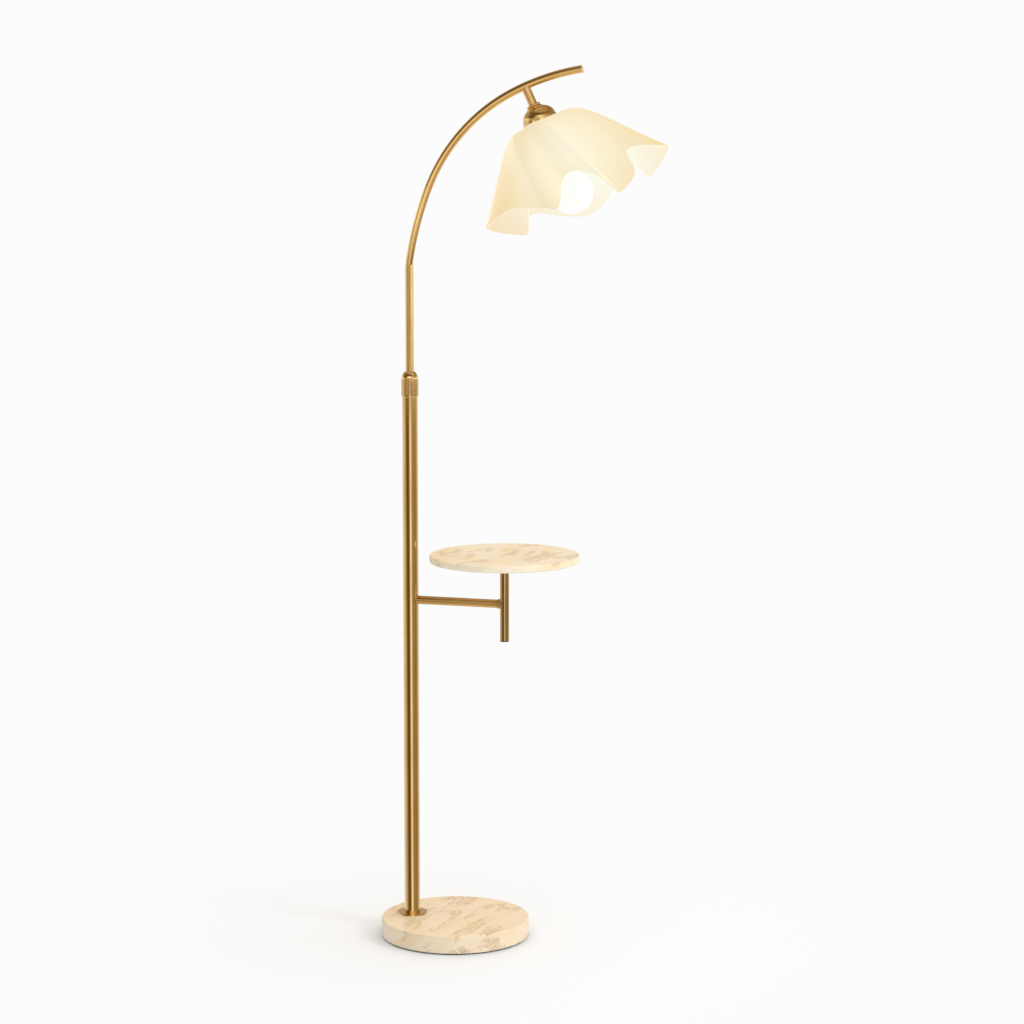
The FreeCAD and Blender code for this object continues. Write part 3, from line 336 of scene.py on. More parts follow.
def build_veins():
    """Marble: scribbled outlines and soft stains that run one way, in patches on a clouded ground."""
    group, start, end = new_group(
        "Marble veins",
        [("Vector", "Vector", None), ("Stone", "Color", (0.9, 0.78, 0.61, 1.0)),
         ("Warm Stone", "Color", (0.9, 0.72, 0.47, 1.0)), ("Vein", "Color", (0.33, 0.24, 0.17, 1.0)),
         ("Stain", "Color", (0.62, 0.43, 0.25, 1.0)), ("Size", "Float", 40.0),
         ("Line Width", "Float", 0.014), ("Bareness", "Float", 0.5), ("Line Depth", "Float", 0.6), ("Stain Depth", "Float", 0.5)],
        [("Color", "Color"), ("Mask", "Float"), ("Grain", "Float")])
    # The veins lie in slanting planes, so the pattern is drawn long along them
    slanted = add(group, "ShaderNodeMapping", Rotation=VEIN_SLANT)
    link(group, start, "Vector", slanted, "Vector")
    drawn = add(group, "ShaderNodeMapping", Scale=VEIN_DRAW)
    link(group, slanted, "Vector", drawn, "Vector")
    figure = add(group, "ShaderNodeTexNoise", Detail=7.0, Roughness=0.62, Distortion=0.35)
    link(group, drawn, "Vector", figure, "Vector")
    link(group, start, "Size", figure, "Scale")
    # Outlines: where the figure crosses its middle
    middle = with_number(group, "SUBTRACT", figure, "Fac", 0.5)
    off = add(group, "ShaderNodeMath", operation="ABSOLUTE")
    link(group, middle, "Value", off, 0)
    outline = add(group, "ShaderNodeMapRange", interpolation_type="SMOOTHSTEP", From_Min=0.0, To_Min=1.0,
                  To_Max=0.0)
    link(group, off, "Value", outline, "Value")
    link(group, start, "Line Width", outline, "From Max")
    # Stains fill one side of the outlines
    stain = ramp(group, middle, "Value", -0.004, 0.03)
    stain_end = ramp(group, middle, "Value", 0.04, 0.11, 1.0, 0.0)
    filled = times(group, stain, "Result", stain_end, "Result")
    # Where veins show at all
    patches = add(group, "ShaderNodeTexNoise", Scale=24.0, Detail=2.5, Roughness=0.5)
    wide = add(group, "ShaderNodeMapping", Location=(3.1, 1.7, 0.4), Scale=(0.8, 0.45, 1.1))
    link(group, slanted, "Vector", wide, "Vector")
    link(group, wide, "Vector", patches, "Vector")
    shown = add(group, "ShaderNodeMapRange", interpolation_type="SMOOTHSTEP", To_Min=0.0, To_Max=1.0)
    link(group, patches, "Fac", shown, "Value")
    link(group, start, "Bareness", shown, "From Min")
    full = with_number(group, "ADD", start, "Bareness", PATCH_EDGE)
    link(group, full, "Value", shown, "From Max")
    lines_here = times(group, outline, "Result", shown, "Result")
    stains_here = times(group, filled, "Value", shown, "Result")
    # Clouded ground
    clouds = add(group, "ShaderNodeTexNoise", Scale=22.0, Detail=4.0, Roughness=0.6)
    link(group, drawn, "Vector", clouds, "Vector")
    cloud_mask = ramp(group, clouds, "Fac", 0.40, 0.66)
    ground = blend_colours(group, cloud_mask, "Result", (start, "Stone"), (start, "Warm Stone"))
    stain_share = times(group, stains_here, "Value", start, "Stain Depth")
    stained = blend_colours(group, stain_share, "Value", (ground, BLENDED), (start, "Stain"))
    line_share = times(group, lines_here, "Value", start, "Line Depth")
    veined = blend_colours(group, line_share, "Value", (stained, BLENDED), (start, "Vein"))
    link(group, veined, BLENDED, end, "Color")
    link(group, lines_here, "Value", end, "Mask")
    grain = add(group, "ShaderNodeTexNoise", Scale=420.0, Detail=3.0, Roughness=0.7)
    link(group, start, "Vector", grain, "Vector")
    link(group, grain, "Fac", end, "Grain")
    return group


def build_moulded():
    """Fine speckle of moulded plastic, rubber, ceramic or felt."""
    group, start, end = new_group(
        "Moulded skin",
        [("Vector", "Vector", None), ("Scale", "Float", 900.0), ("Colour", "Color", (0.5, 0.5, 0.5, 1.0)),
         ("Depth", "Float", 0.15)],
        [("Color", "Color"), ("Height", "Float")])
    speckle = add(group, "ShaderNodeTexNoise", Detail=3.0, Roughness=0.65)
    link(group, start, "Vector", speckle, "Vector")
    link(group, start, "Scale", speckle, "Scale")
    centred = with_number(group, "SUBTRACT", speckle, "Fac", 0.5)
    scaled = times(group, centred, "Value", start, "Depth")
    level = with_number(group, "ADD", scaled, "Value", 1.0)
    shaded = add(group, "ShaderNodeVectorMath", operation="SCALE")
    link(group, start, "Colour", shaded, 0)
    link(group, level, "Value", shaded, "Scale")
    link(group, shaded, "Vector", end, "Color")
    link(group, speckle, "Fac", end, "Height")
    return group


def shared(name, build):
    """A shared effect, built once."""
    return bpy.data.node_groups.get(name) or build()


# Materials

# Scratches run along the axis whose share is small
UPRIGHT_LINES = (1.0, 1.0, 0.04)
LEVEL_LINES = (0.04, 1.0, 1.0)
# The arm's brass, also used on the arc's end cap, is a darker, redder copy of the tubes': painted shade
# under the tray
SHADED_ARM_BRASS = (0.71, 0.43, 0.145)
SHADED_ARM_TARNISH = (0.62, 0.36, 0.11)


def darker(tone, share):
    """A share of a colour."""
    return [channel * share for channel in tone]


def metal_material(name, base, dull, rough, roughness_gain, along, coat=0.0, clouds=9.0):
    """Plated or lacquered metal with cloudy dulling and scratches that run one way."""
    material, tree, shader, place = new_material(name, Metallic=1.0, Coat_Weight=coat, Coat_Roughness=0.08)
    wear = use_group(tree, shared("Fine wear", build_wear), Clouds=clouds, Along=along)
    link(tree, place, "Object", wear, "Vector")
    tone = blend_colours(tree, wear, "Dulling", base, dull)
    link(tree, tone, BLENDED, shader, "Base Color")
    rougher = add(tree, "ShaderNodeMapRange", To_Min=rough, To_Max=rough + roughness_gain)
    link(tree, wear, "Dulling", rougher, "Value")
    link(tree, rougher, "Result", shader, "Roughness")
    bump(tree, shader, wear, "Scratch", 0.00001)
    return material


def skin_material(name, base, scale, depth, bump_depth, **values):
    """Plastic, rubber, ceramic or felt: one colour with a fine speckle in tone and height."""
    material, tree, shader, place = new_material(name, **values)
    skin = use_group(tree, shared("Moulded skin", build_moulded), Scale=scale, Depth=depth,
                     Colour=(*base, 1.0))
    link(tree, place, "Object", skin, "Vector")
    link(tree, skin, "Color", shader, "Base Color")
    bump(tree, shader, skin, "Height", bump_depth)
    return material


def stone_material(name, finishes, stone, warm, offset, size, bareness, line_depth, stain_depth):
    """Honed cream marble."""
    material, tree, shader, place = new_material(name, IOR=1.5)
    shifted = add(tree, "ShaderNodeMapping", Location=offset)
    link(tree, place, "Object", shifted, "Vector")
    veins = use_group(tree, shared("Marble veins", build_veins), Stone=(*stone, 1.0),
                      Warm_Stone=(*warm, 1.0), Vein=(*finishes.vein, 1.0), Stain=(*finishes.stain, 1.0),
                      Size=size, Bareness=bareness, Line_Depth=line_depth, Stain_Depth=stain_depth)
    link(tree, shifted, "Vector", veins, "Vector")
    link(tree, veins, "Color", shader, "Base Color")
    polish = ramp(tree, veins, "Grain", 0.3, 0.7, 0.36, 0.48)
    link(tree, polish, "Result", shader, "Roughness")
    bump(tree, shader, veins, "Mask", -0.00006)
    return material


def build_glow():
    """Painted light that spreads over a sheet from its brightest place, which the front and the back share.
    """
    group, start, end = new_group(
        "Spread of light",
        [("Vector", "Vector", None), ("Brightest", "Vector", (0.0, 0.0, 0.0)), ("Near", "Float", 0.0),
         ("Far", "Float", 0.25)],
        [("Nearness", "Float")])
    folded = add(group, "ShaderNodeVectorMath", operation="ABSOLUTE")
    link(group, start, "Vector", folded, 0)
    ray = add(group, "ShaderNodeVectorMath", operation="SUBTRACT")
    link(group, folded, "Vector", ray, 0)
    link(group, start, "Brightest", ray, 1)
    way = add(group, "ShaderNodeVectorMath", operation="LENGTH")
    link(group, ray, "Vector", way, 0)
    near = add(group, "ShaderNodeMapRange", interpolation_type="SMOOTHSTEP", To_Min=1.0, To_Max=0.0)
    link(group, way, "Value", near, "Value")
    link(group, start, "Near", near, "From Min")
    link(group, start, "Far", near, "From Max")
    link(group, near, "Result", end, "Nearness")
    return group


def sheet_material(finishes, bulb_centre):
    """Opal sheet with painted light: an emission colour, brightest at a set place on each face, stands in
    for the bulb's light through the sheet and on its inner face; the sheet's own colour is kept dark.
    """
    material, tree, shader, place = new_material(
        "Opal sheet", Roughness=0.34, IOR=1.49, Coat_Weight=0.15, Coat_Roughness=0.2,
        Emission_Strength=finishes.sheet_glow)
    surface = tree.nodes.new("ShaderNodeNewGeometry")
    # A face that looks at the bulb is an inner one
    ray = add(tree, "ShaderNodeVectorMath", operation="SUBTRACT")
    link(tree, place, "Object", ray, 0)
    ray.inputs[1].default_value = bulb_centre
    straight = add(tree, "ShaderNodeVectorMath", operation="NORMALIZE")
    link(tree, ray, "Vector", straight, 0)
    facing = add(tree, "ShaderNodeVectorMath", operation="DOT_PRODUCT")
    link(tree, straight, "Vector", facing, 0)
    link(tree, surface, "Normal", facing, 1)
    inside = ramp(tree, facing, "Value", INNER_FACE, OUTER_FACE, 1.0, 0.0)
    glows = []
    for brightest, (near, far), pale, deep in (
            (SHEET_BRIGHTEST, SHEET_FADE, finishes.sheet_near, finishes.sheet_far),
            (INSIDE_BRIGHTEST, INSIDE_FADE, finishes.inside_near, finishes.inside_far)):
        spread = use_group(tree, shared("Spread of light", build_glow), Brightest=brightest,
                           Near=near, Far=far)
        link(tree, place, "Object", spread, "Vector")
        glows.append(blend_colours(tree, spread, "Nearness", deep, pale))
    glow = blend_colours(tree, inside, "Result", (glows[0], BLENDED), (glows[1], BLENDED))
    link(tree, glow, BLENDED, shader, "Emission Color")
    haze = add(tree, "ShaderNodeTexNoise", Scale=14.0, Detail=3.0, Roughness=0.5)
    link(tree, place, "Object", haze, "Vector")
    body = blend_colours(tree, haze, "Fac", darker(finishes.sheet, 0.96), finishes.sheet)
    link(tree, body, BLENDED, shader, "Base Color")
    ripple = add(tree, "ShaderNodeTexNoise", Scale=60.0, Detail=2.0, Roughness=0.4)
    link(tree, place, "Object", ripple, "Vector")
    bump(tree, shader, ripple, "Fac", 0.00008)
    return material


# The draped sheet

def head_matrix():
    """Places the head: its own Z runs up the stem from the dome's mouth."""
    return Matrix.Translation(DOME_MOUTH) @ Matrix.Rotation(-STEM_LEAN, 4, "Y")


def sheet_rows(sizes):
    """Control points of the sheet's outer face, row by row from neck to hem."""
    count = len(HEM)
    mean_r, mean_drop = MEAN_HEM
    rows = np.zeros((len(FALL), count, 3))
    for j, (out, down, fold, drift) in enumerate(FALL):
        for k, (angle, r_share, drop_share) in enumerate(HEM):
            even = 360 * k / count
            turn = math.radians(even + (angle - even) * drift)
            reach = (SHEET_NECK + (mean_r * sizes.sheet_reach - SHEET_NECK) * out
                     + (r_share - mean_r) * sizes.sheet_reach * fold)
            drop = sizes.sheet_fall * (mean_drop * down + (drop_share - mean_drop) * fold)
            rows[j, k] = (reach * math.cos(turn), reach * math.sin(turn), -SHEET_SEAT - drop)
    return rows


def round_weights(count, samples):
    """Weights of a closed cubic spline's control points at evenly spaced samples."""
    weights = np.zeros((samples, count))
    for s in range(samples):
        at, f = divmod(s * count / samples, 1)
        cubic = ((1 - f) ** 3, 3 * f ** 3 - 6 * f ** 2 + 4, -3 * f ** 3 + 3 * f ** 2 + 3 * f + 1, f ** 3)
        for k, weight in enumerate(cubic):
            weights[s, (int(at) - 1 + k) % count] += weight / 6
    return weights


def fall_weights(count, samples):
    """Weights of an open cubic spline's control points that starts and ends on its end points."""
    spans = count - 3
    knots = [0.0] * 4 + list(range(1, spans)) + [float(spans)] * 4
    weights = np.zeros((samples, count))
    for s in range(samples):
        t = min(spans * s / (samples - 1), spans - 1e-9)
        basis = [1.0 if knots[i] <= t < knots[i + 1] else 0.0 for i in range(count + 3)]
        for degree in range(1, 4):
            for i in range(count + 3 - degree):
                rise, run = t - knots[i], knots[i + degree] - knots[i]
                sink, rest = knots[i + degree + 1] - t, knots[i + degree + 1] - knots[i + 1]
                climb = basis[i] * rise / run if run else 0.0
                basis[i] = climb + (basis[i + 1] * sink / rest if rest else 0.0)
        weights[s] = basis[:count]
    return weights


def build_sheet(sizes):
    """The sheet as one skin with a hole for the stem's thread; a modifier gives its thickness."""
    around, down = 480, 72
    rows = sheet_rows(sizes)
    skin = np.einsum("vi,ijk,uj->vuk", fall_weights(len(FALL), down), rows, round_weights(len(HEM), around))
    made = bmesh.new()
    rings = []
    turns = [2 * math.pi * k / around for k in range(around)]
    for reach in (SHEET_HOLE, (SHEET_HOLE + SHEET_NECK) / 2):
        ring = [(reach * math.cos(t), reach * math.sin(t), -SHEET_SEAT) for t in turns]
        rings.append([made.verts.new(p) for p in ring])
    rings += [[made.verts.new(p) for p in ring] for ring in skin]
    for upper, lower in zip(rings, rings[1:]):
        for k in range(around):
            after = (k + 1) % around
            face = made.faces.new((upper[k], lower[k], lower[after], upper[after]))
            face.smooth = True
    bmesh.ops.recalc_face_normals(made, faces=made.faces)
    mesh = bpy.data.meshes.new("lamp_shade")
    made.to_mesh(mesh)
    made.free()
    mesh.transform(head_matrix())
    sheet = bpy.data.objects.new("lamp_shade", mesh)
    bpy.context.scene.collection.objects.link(sheet)
    thick = sheet.modifiers.new("Thickness", "SOLIDIFY")
    thick.thickness = sizes.sheet_thickness
    thick.offset = -1.0
    edge = sheet.modifiers.new("Hem edge", "BEVEL")
    edge.width = sizes.hem_edge
    edge.segments = 2
    edge.limit_method = "ANGLE"
    edge.angle_limit = math.radians(60)
    return sheet


# Studio

SENSOR_WIDTH = 36.0
FLOOR_RADIUS = 14.0
# The floor lies this far under the lamp, so that the two never share a plane
FLOOR_GAP = 0.0005
# Distance from the base's centre at which the floor starts to fade, and at which it is white
FLOOR_FADE = (0.26, 0.78)
# How near a thing has to be to take the floor's lift away, which paints a darker shade round the base, and
# the openness at which the lift starts
LIFT_REACH = 0.22
LIFT_FROM = 0.35
# The soft light by its direction: where it turns warm upwards, and where it weakens to the left
OVERHEAD = (0.15, 0.85)
LEFT_SIDE = (-0.95, 0.05)


def build_camera(studio):
    """The camera at the photograph's angle."""
    camera = bpy.data.objects.new("Camera", bpy.data.cameras.new("Camera"))
    camera.location = studio.camera_place
    camera.rotation_euler = (math.pi / 2 - studio.camera_dip, 0.0, studio.camera_turn)
    camera.data.sensor_width = SENSOR_WIDTH
    camera.data.lens = SENSOR_WIDTH * studio.focal_share
    camera.data.clip_end = 100.0
    bpy.context.scene.collection.objects.link(camera)
    bpy.context.scene.camera = camera


def build_floor(studio):
    """A wide pale floor that keeps the lamp's shadow and runs out to white."""
    made = bmesh.new()
    bmesh.ops.create_circle(made, cap_ends=True, cap_tris=False, segments=96, radius=FLOOR_RADIUS)
    mesh = bpy.data.meshes.new("floor")
    made.to_mesh(mesh)
    made.free()
    floor = bpy.data.objects.new("floor", mesh)
    floor.location = (0.0, 0.0, -FLOOR_GAP)
    bpy.context.scene.collection.objects.link(floor)
    material, tree, shader, place = new_material("Pale floor", Base_Color=studio.floor, Roughness=0.9,
                                                 Specular_IOR_Level=0.1)
    # Near the base the shadow shows, deepened by painted shade where near things take the lift away;
    # further out the floor is as white as what is behind it
    lift = add(tree, "ShaderNodeEmission", Color=WHITE)
    open_share = add(tree, "ShaderNodeAmbientOcclusion", samples=8, Distance=LIFT_REACH)
    lifted = ramp(tree, open_share, "AO", LIFT_FROM, 1.0, 0.0, studio.floor_lift)
    link(tree, lifted, "Result", lift, "Strength")
    open_floor = add(tree, "ShaderNodeEmission", Color=WHITE, Strength=studio.backdrop)
    out = add(tree, "ShaderNodeVectorMath", operation="LENGTH")
    link(tree, place, "Object", out, 0)
    far = ramp(tree, out, "Value", *FLOOR_FADE)
    lit = tree.nodes.new("ShaderNodeAddShader")
    link(tree, shader, "BSDF", lit, 0)
    link(tree, lift, "Emission", lit, 1)
    shown = blend_shaders(tree, far, "Result", (lit, "Shader"), (open_floor, "Emission"))
    choice = seen_as(tree, (shader, "BSDF"), (shown, "Shader"))
    link(tree, choice, "Shader", tree.nodes["Material Output"], "Surface")
    mesh.materials.append(material)
    floor.visible_glossy = False


# Cards round the lamp as the metal sees them, in layers from below to above. Each stop is the turn from
# the camera's side in degrees and the card's brightness
# The pale floor, then the soft light it gives back
FLOOR_CARDS = ((-180, 1.0), (-60, 0.7), (0, 0.5), (60, 0.5), (120, 1.0))
UNDER_CARDS = ((-180, 0.9), (-90, 0.9), (-45, 0.6), (0, 0.9), (45, 0.7), (90, 0.4), (130, 0.7))
# Pale walls behind, a black card left of the camera, a strip light at it and a grey card right of it
SIDE_CARDS = (
    (-180, 0.9), (-120, 1.0), (-90, 0.8), (-60, 0.3), (-45, 0.1), (-25, 0.1), (-12, 0.4), (0, 1.3),
    (10, 1.3), (25, 0.4), (75, 0.3), (100, 0.5), (130, 0.9),
)
# A black card at the camera, a broad soft light to its right
HIGH_CARDS = ((-180, 1.0), (-100, 1.2), (-60, 0.4), (-30, 0.8), (0, 0.3), (25, 0.7), (45, 1.3), (130, 1.1))
# A soft light over the camera, a black card to its left
BAND_CARDS = ((-180, 0.5), (-120, 0.6), (-85, 0.2), (-50, 0.1), (-25, 0.7), (0, 1.4), (45, 0.7), (80, 0.4))
# A dark roof that lightens towards the open sky
ROOF_CARDS = ((-180, 0.4), (-40, 0.1), (60, 0.3))
SKY_CARDS = ((-180, 0.7), (-60, 0.5), (60, 0.5))
# Where each layer takes over from the one under it, as the sine of the height
CARD_LAYERS = (
    (-0.94, -0.86, FLOOR_CARDS), (-0.52, -0.42, UNDER_CARDS), (-0.315, -0.285, SIDE_CARDS),
    (-0.0995, -0.0925, HIGH_CARDS), (0.18, 0.24, BAND_CARDS), (0.54, 0.60, ROOF_CARDS),
    (0.76, 0.94, SKY_CARDS),
)
# Dim cards are warm and bright cards are slightly cool
DIM_TINT = (1.2, 0.85, 0.35)
BRIGHT_TINT = (0.95, 1.0, 1.15)
# What lies under the lowest layer
GROUND_CARD = (0.86, 0.92, 0.98)


def card_light(level):
    """The colour of a card from its brightness."""
    cool = min(level, 1.0)
    return [level * (dim * (1.0 - cool) + bright * cool) for dim, bright in zip(DIM_TINT, BRIGHT_TINT)]


def card_ramp(tree, source, out, layer):
    """A colour ramp round the lamp, from behind over the left, the camera's side and the right."""
    made = tree.nodes.new("ShaderNodeValToRGB")
    elements = made.color_ramp.elements
    while len(elements) < len(layer):
        elements.new(0.5)
    for element, (side, brightness) in zip(elements, layer):
        element.position = (side + 180) / 360
        element.color = (*card_light(brightness), 1.0)
    link(tree, source, out, made, "Fac")
    return made


def build_room(studio):
    """White surroundings to the eye, soft light on the object, and tall cards for the metal to reflect."""
    world = bpy.data.worlds.new("Studio")
    bpy.context.scene.world = world
    world.use_nodes = True
    tree = world.node_tree
    tree.nodes.clear()
    out = tree.nodes.new("ShaderNodeOutputWorld")
    white = add(tree, "ShaderNodeBackground", Color=WHITE, Strength=studio.backdrop)
    soft = tree.nodes.new("ShaderNodeBackground")
    cards = tree.nodes.new("ShaderNodeBackground")
    # Where a reflection goes, as a turn from the camera's side and as a height
    place = tree.nodes.new("ShaderNodeTexCoord")
    turned = add(tree, "ShaderNodeVectorRotate", rotation_type="Z_AXIS", Angle=-studio.camera_turn)
    link(tree, place, "Generated", turned, "Vector")
    parts = tree.nodes.new("ShaderNodeSeparateXYZ")
    link(tree, turned, "Vector", parts, "Vector")
    back = with_number(tree, "MULTIPLY", parts, "Y", -1.0)
    turn = times(tree, parts, "X", back, "Value", "ARCTAN2")
    share = add(tree, "ShaderNodeMapRange", From_Min=-math.pi, From_Max=math.pi)
    link(tree, turn, "Value", share, "Value")
    stack = None
    for start, full, layer in CARD_LAYERS:
        here = card_ramp(tree, share, "Result", layer)
        rise = ramp(tree, parts, "Z", start, full)
        below = (stack, BLENDED) if stack else GROUND_CARD
        stack = blend_colours(tree, rise, "Result", below, (here, "Color"))
    link(tree, stack, BLENDED, cards, "Color")
    # The soft light is warmer from above, and weaker from the left, where the lamp's shadow lies
    overhead = ramp(tree, parts, "Z", *OVERHEAD)
    warmth = blend_colours(tree, overhead, "Result", studio.side_tint, studio.top_tint)
    link(tree, warmth, BLENDED, soft, "Color")
    level = ramp(tree, parts, "X", *LEFT_SIDE, studio.room_light * studio.left_share, studio.room_light)
    link(tree, level, "Result", soft, "Strength")
    path = tree.nodes.new("ShaderNodeLightPath")
    sheen = blend_shaders(tree, path, "Is Glossy Ray", (soft, "Background"), (cards, "Background"))
    choice = seen_as(tree, (sheen, "Shader"), (white, "Background"))
    link(tree, choice, "Shader", out, "Surface")


def build_softbox(name, place, aim, width, height, power, tint, mirrored=False):
    """A soft area light. A mirrored one shows in the metal and adds no diffuse light."""
    light = bpy.data.lights.new(name, "AREA")
    light.shape = "RECTANGLE"
    light.size = width
    light.size_y = height
    light.energy = power
    light.color = tint
    lamp = bpy.data.objects.new(name, light)
    lamp.location = place
    lamp.rotation_euler = (Vector(aim) - Vector(place)).to_track_quat("-Z", "Y").to_euler()
    lamp.visible_glossy = mirrored
    lamp.visible_diffuse = not mirrored
    lamp.visible_camera = False
    bpy.context.scene.collection.objects.link(lamp)


# Operators

class LAMP_OT_set_studio(Operator):
    """Set up the camera, the pale floor and the soft lights"""
    bl_idname = "lamp.set_studio"
    bl_label = "Set Studio"

    def execute(self, context):
        studio = context.scene.lamp_studio
        context.scene.view_settings.view_transform = "Standard"
        build_camera(studio)
        build_floor(studio)
        build_room(studio)
        build_softbox("Key softbox", place=(4.6, -1.5, 3.3), aim=(0.0, 0.0, 0.6), width=1.6, height=1.6,
                      power=68.0, tint=(1.0, 0.98, 0.96))
        build_softbox("Strip card", place=(-0.05, -0.76, 1.37), aim=(0.1, 0.0, 1.6), width=0.62,
                      height=0.26, power=0.42, tint=(1.0, 0.97, 0.94), mirrored=True)
        return {"FINISHED"}


class LAMP_OT_plate_brass(Operator):
    """Give the tubes, the arm, the collar and the dome their lacquered brass"""
    bl_idname = "lamp.plate_brass"
    bl_label = "Plate Brass"

    def execute(self, context):
        finishes = context.scene.lamp_finishes
        base, dull = tuple(finishes.brass), tuple(finishes.brass_tarnish)
        upright = metal_material("Brass tube", base, dull, rough=0.07, roughness_gain=0.04,
                                 along=UPRIGHT_LINES, coat=0.1)
        level = metal_material("Shaded brass arm", SHADED_ARM_BRASS, SHADED_ARM_TARNISH, rough=0.08, roughness_gain=0.03,
                               along=LEVEL_LINES, coat=0.1)
        # The post and its ring get a darker copy of the tubes' brass: painted shade under the tray
        post = metal_material("Shaded brass post", darker(base, 0.70), darker(dull, 0.64), rough=0.13,
                              roughness_gain=0.05, along=UPRIGHT_LINES, coat=0.1)
        turned = metal_material("Turned brass", base, dull, rough=0.05, roughness_gain=0.03,
                                along=(0.2, 0.2, 1.0), coat=0.1, clouds=24.0)
        dress(upright, "pole_tube", "top_bush", "upper_tube", "stem_tube", "arc_tube")
        dress(level, "shelf_arm", "arc_end_cap")
        dress(post, "shelf_post", "arm_ring")
        dress(turned, "base_flange", "locking_collar", "neck_ring", "holder_dome", "tray_flange")
        return {"FINISHED"}


class LAMP_OT_cut_stone(Operator):
    """Give the base and the tray their honed cream marble"""
    bl_idname = "lamp.cut_stone"
    bl_label = "Cut Stone"

    def execute(self, context):
        finishes = context.scene.lamp_finishes
        dress(stone_material("Base marble", finishes, finishes.stone, finishes.stone_warm,
                             offset=(0.31, 0.12, 0.05), size=44.0, bareness=0.47, line_depth=0.90,
                             stain_depth=0.36), "marble_base")
        dress(stone_material("Tray marble", finishes, finishes.tray_stone, finishes.tray_warm,
                             offset=(0.04, 0.37, 0.21), size=36.0, bareness=0.48, line_depth=0.62,
                             stain_depth=0.50), "marble_tray")
        # The polished tubes keep their even stripes beside the stone
        for name in ("marble_base", "marble_tray", "felt_pad", "base_washer", "base_nut"):
            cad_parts[name].visible_glossy = False
        return {"FINISHED"}


class LAMP_OT_drape_shade(Operator):
    """Form the draped opal sheet and give it its painted glow"""
    bl_idname = "lamp.drape_shade"
    bl_label = "Drape Shade"

    def execute(self, context):
        sheet = build_sheet(context.scene.lamp_sizes)
        centre = head_matrix() @ Vector((0.0, 0.0, -BULB_DROP))
        sheet.data.materials.append(sheet_material(context.scene.lamp_finishes, centre))
        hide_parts("shade")
        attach(sheet, "head")
        return {"FINISHED"}


class LAMP_OT_light_bulb(Operator):
    """Light the opal globe and finish its cap and contacts"""
    bl_idname = "lamp.light_bulb"
    bl_label = "Light Bulb"

    def execute(self, context):
        finishes = context.scene.lamp_finishes
        material, tree, shader, place = new_material(
            "Lit globe", Base_Color=(0.35, 0.345, 0.33), Roughness=0.25,
            Emission_Strength=finishes.bulb_glow)
        frost = add(tree, "ShaderNodeTexNoise", Scale=30.0, Detail=2.0)
        link(tree, place, "Object", frost, "Vector")
        warm = blend_colours(tree, frost, "Fac", (1.0, 0.96, 0.92), (1.0, 0.99, 0.97))
        link(tree, warm, BLENDED, shader, "Emission Color")
        dress(material, "bulb_globe")
        metal = metal_material("Bulb cap metal", (0.74, 0.74, 0.75), (0.58, 0.58, 0.60), rough=0.24,
                               roughness_gain=0.14, along=(0.1, 0.1, 1.0), clouds=60.0)
        dress(metal, *BULB_METAL_NODES)
        dress(skin_material("Bulb insulator", (0.03, 0.03, 0.035), scale=1500.0, depth=0.2,
                            bump_depth=0.00003, Roughness=0.25), "bulb_insulator")
        return {"FINISHED"}


class LAMP_OT_finish_holder(Operator):
    """Finish the lamp holder: cap, body, insulator, shell and contacts"""
    bl_idname = "lamp.finish_holder"
    bl_label = "Finish Holder"

    def execute(self, context):
        dress(skin_material("Holder plastic", (0.80, 0.78, 0.73), scale=1100.0, depth=0.12,
                            bump_depth=0.00004, Roughness=0.42), *HOLDER_NODES)
        dress(skin_material("Holder ceramic", (0.84, 0.82, 0.77), scale=700.0, depth=0.10,
                            bump_depth=0.00003, Roughness=0.22, Coat_Weight=0.3), "holder_insulator")
        dress(metal_material("Contact brass", (0.76, 0.52, 0.20), (0.58, 0.36, 0.13), rough=0.2,
                             roughness_gain=0.15, along=(0.2, 0.2, 1.0), clouds=70.0), *CONTACT_NODES)
        return {"FINISHED"}


class LAMP_OT_finish_fixings(Operator):
    """Finish the zinc-plated rods, nuts, washers and screws"""
    bl_idname = "lamp.finish_fixings"
    bl_label = "Finish Fixings"

    def execute(self, context):
        dress(metal_material("Zinc plate", (0.56, 0.57, 0.59), (0.40, 0.41, 0.44), rough=0.26,
                             roughness_gain=0.16, along=(0.3, 0.3, 1.0), clouds=60.0), *ZINC_NODES)
        return {"FINISHED"}


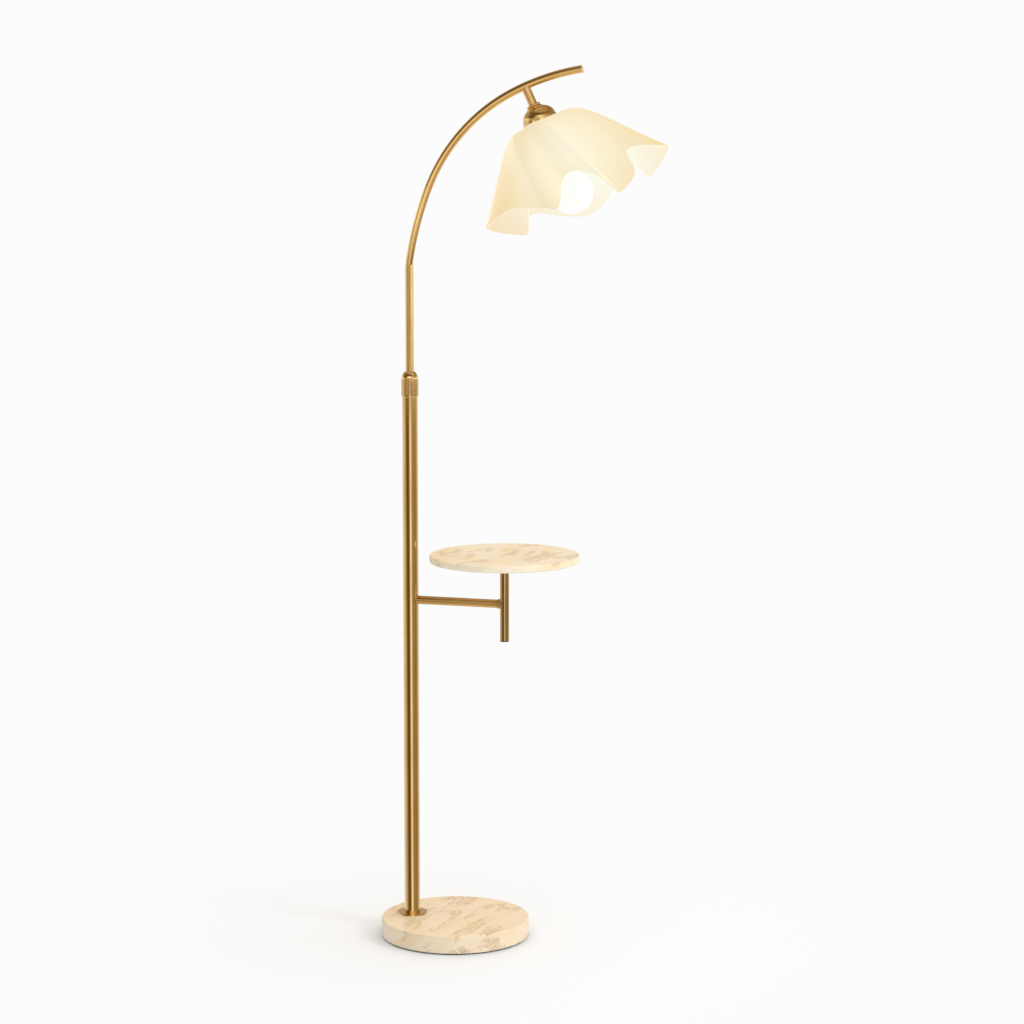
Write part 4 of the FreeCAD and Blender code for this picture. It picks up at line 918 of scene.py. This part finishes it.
class LAMP_OT_finish_pads(Operator):
    """Finish the felt pad, the rubber grommet, the plastic cap and the nylon bushes"""
    bl_idname = "lamp.finish_pads"
    bl_label = "Finish Pads"

    def execute(self, context):
        dress(skin_material("Black felt", (0.035, 0.034, 0.033), scale=650.0, depth=0.9,
                            bump_depth=0.0006, Roughness=0.97, Sheen_Weight=0.4), "felt_pad")
        dress(skin_material("Black rubber", (0.022, 0.022, 0.022), scale=900.0, depth=0.25,
                            bump_depth=0.00008, Roughness=0.62), "lead_grommet")
        dress(skin_material("Black cap plastic", (0.03, 0.026, 0.022), scale=1200.0, depth=0.2,
                            bump_depth=0.00005, Roughness=0.45), "post_end_cap")
        dress(skin_material("Nylon", (0.74, 0.72, 0.66), scale=900.0, depth=0.08,
                            bump_depth=0.00004, Roughness=0.38), *NYLON_NODES)
        return {"FINISHED"}


class LAMP_PT_sidebar(Panel):
    """The lamp's pieces and settings"""
    bl_label = "Shelf Floor Lamp"
    bl_idname = "LAMP_PT_sidebar"
    bl_space_type = "VIEW_3D"
    bl_region_type = "UI"
    bl_category = "Shelf Lamp"

    def draw(self, context):
        scene = context.scene
        for title, group in (("Sizes", scene.lamp_sizes), ("Finishes", scene.lamp_finishes),
                             ("Studio", scene.lamp_studio)):
            box = self.layout.box()
            box.label(text=title)
            for name in group.bl_rna.properties.keys():
                if name not in ("rna_type", "name"):
                    box.prop(group, name)
        for operator in OPERATORS:
            self.layout.operator(operator.bl_idname)


OPERATORS = (LAMP_OT_set_studio, LAMP_OT_plate_brass, LAMP_OT_cut_stone, LAMP_OT_drape_shade,
             LAMP_OT_light_bulb, LAMP_OT_finish_holder, LAMP_OT_finish_fixings, LAMP_OT_finish_pads)
SETTINGS = (LampSizes, LampFinishes, StudioSettings)


def register():
    for cls in SETTINGS + OPERATORS + (LAMP_PT_sidebar,):
        bpy.utils.register_class(cls)
    bpy.types.Scene.lamp_sizes = PointerProperty(type=LampSizes)
    bpy.types.Scene.lamp_finishes = PointerProperty(type=LampFinishes)
    bpy.types.Scene.lamp_studio = PointerProperty(type=StudioSettings)


def unregister():
    del bpy.types.Scene.lamp_studio
    del bpy.types.Scene.lamp_finishes
    del bpy.types.Scene.lamp_sizes
    for cls in reversed(SETTINGS + OPERATORS + (LAMP_PT_sidebar,)):
        bpy.utils.unregister_class(cls)


def main():
    register()
    bpy.ops.lamp.set_studio()
    bpy.ops.lamp.plate_brass()
    bpy.ops.lamp.cut_stone()
    bpy.ops.lamp.drape_shade()
    bpy.ops.lamp.light_bulb()
    bpy.ops.lamp.finish_holder()
    bpy.ops.lamp.finish_fixings()
    bpy.ops.lamp.finish_pads()


if __name__ == "__main__":
    main()
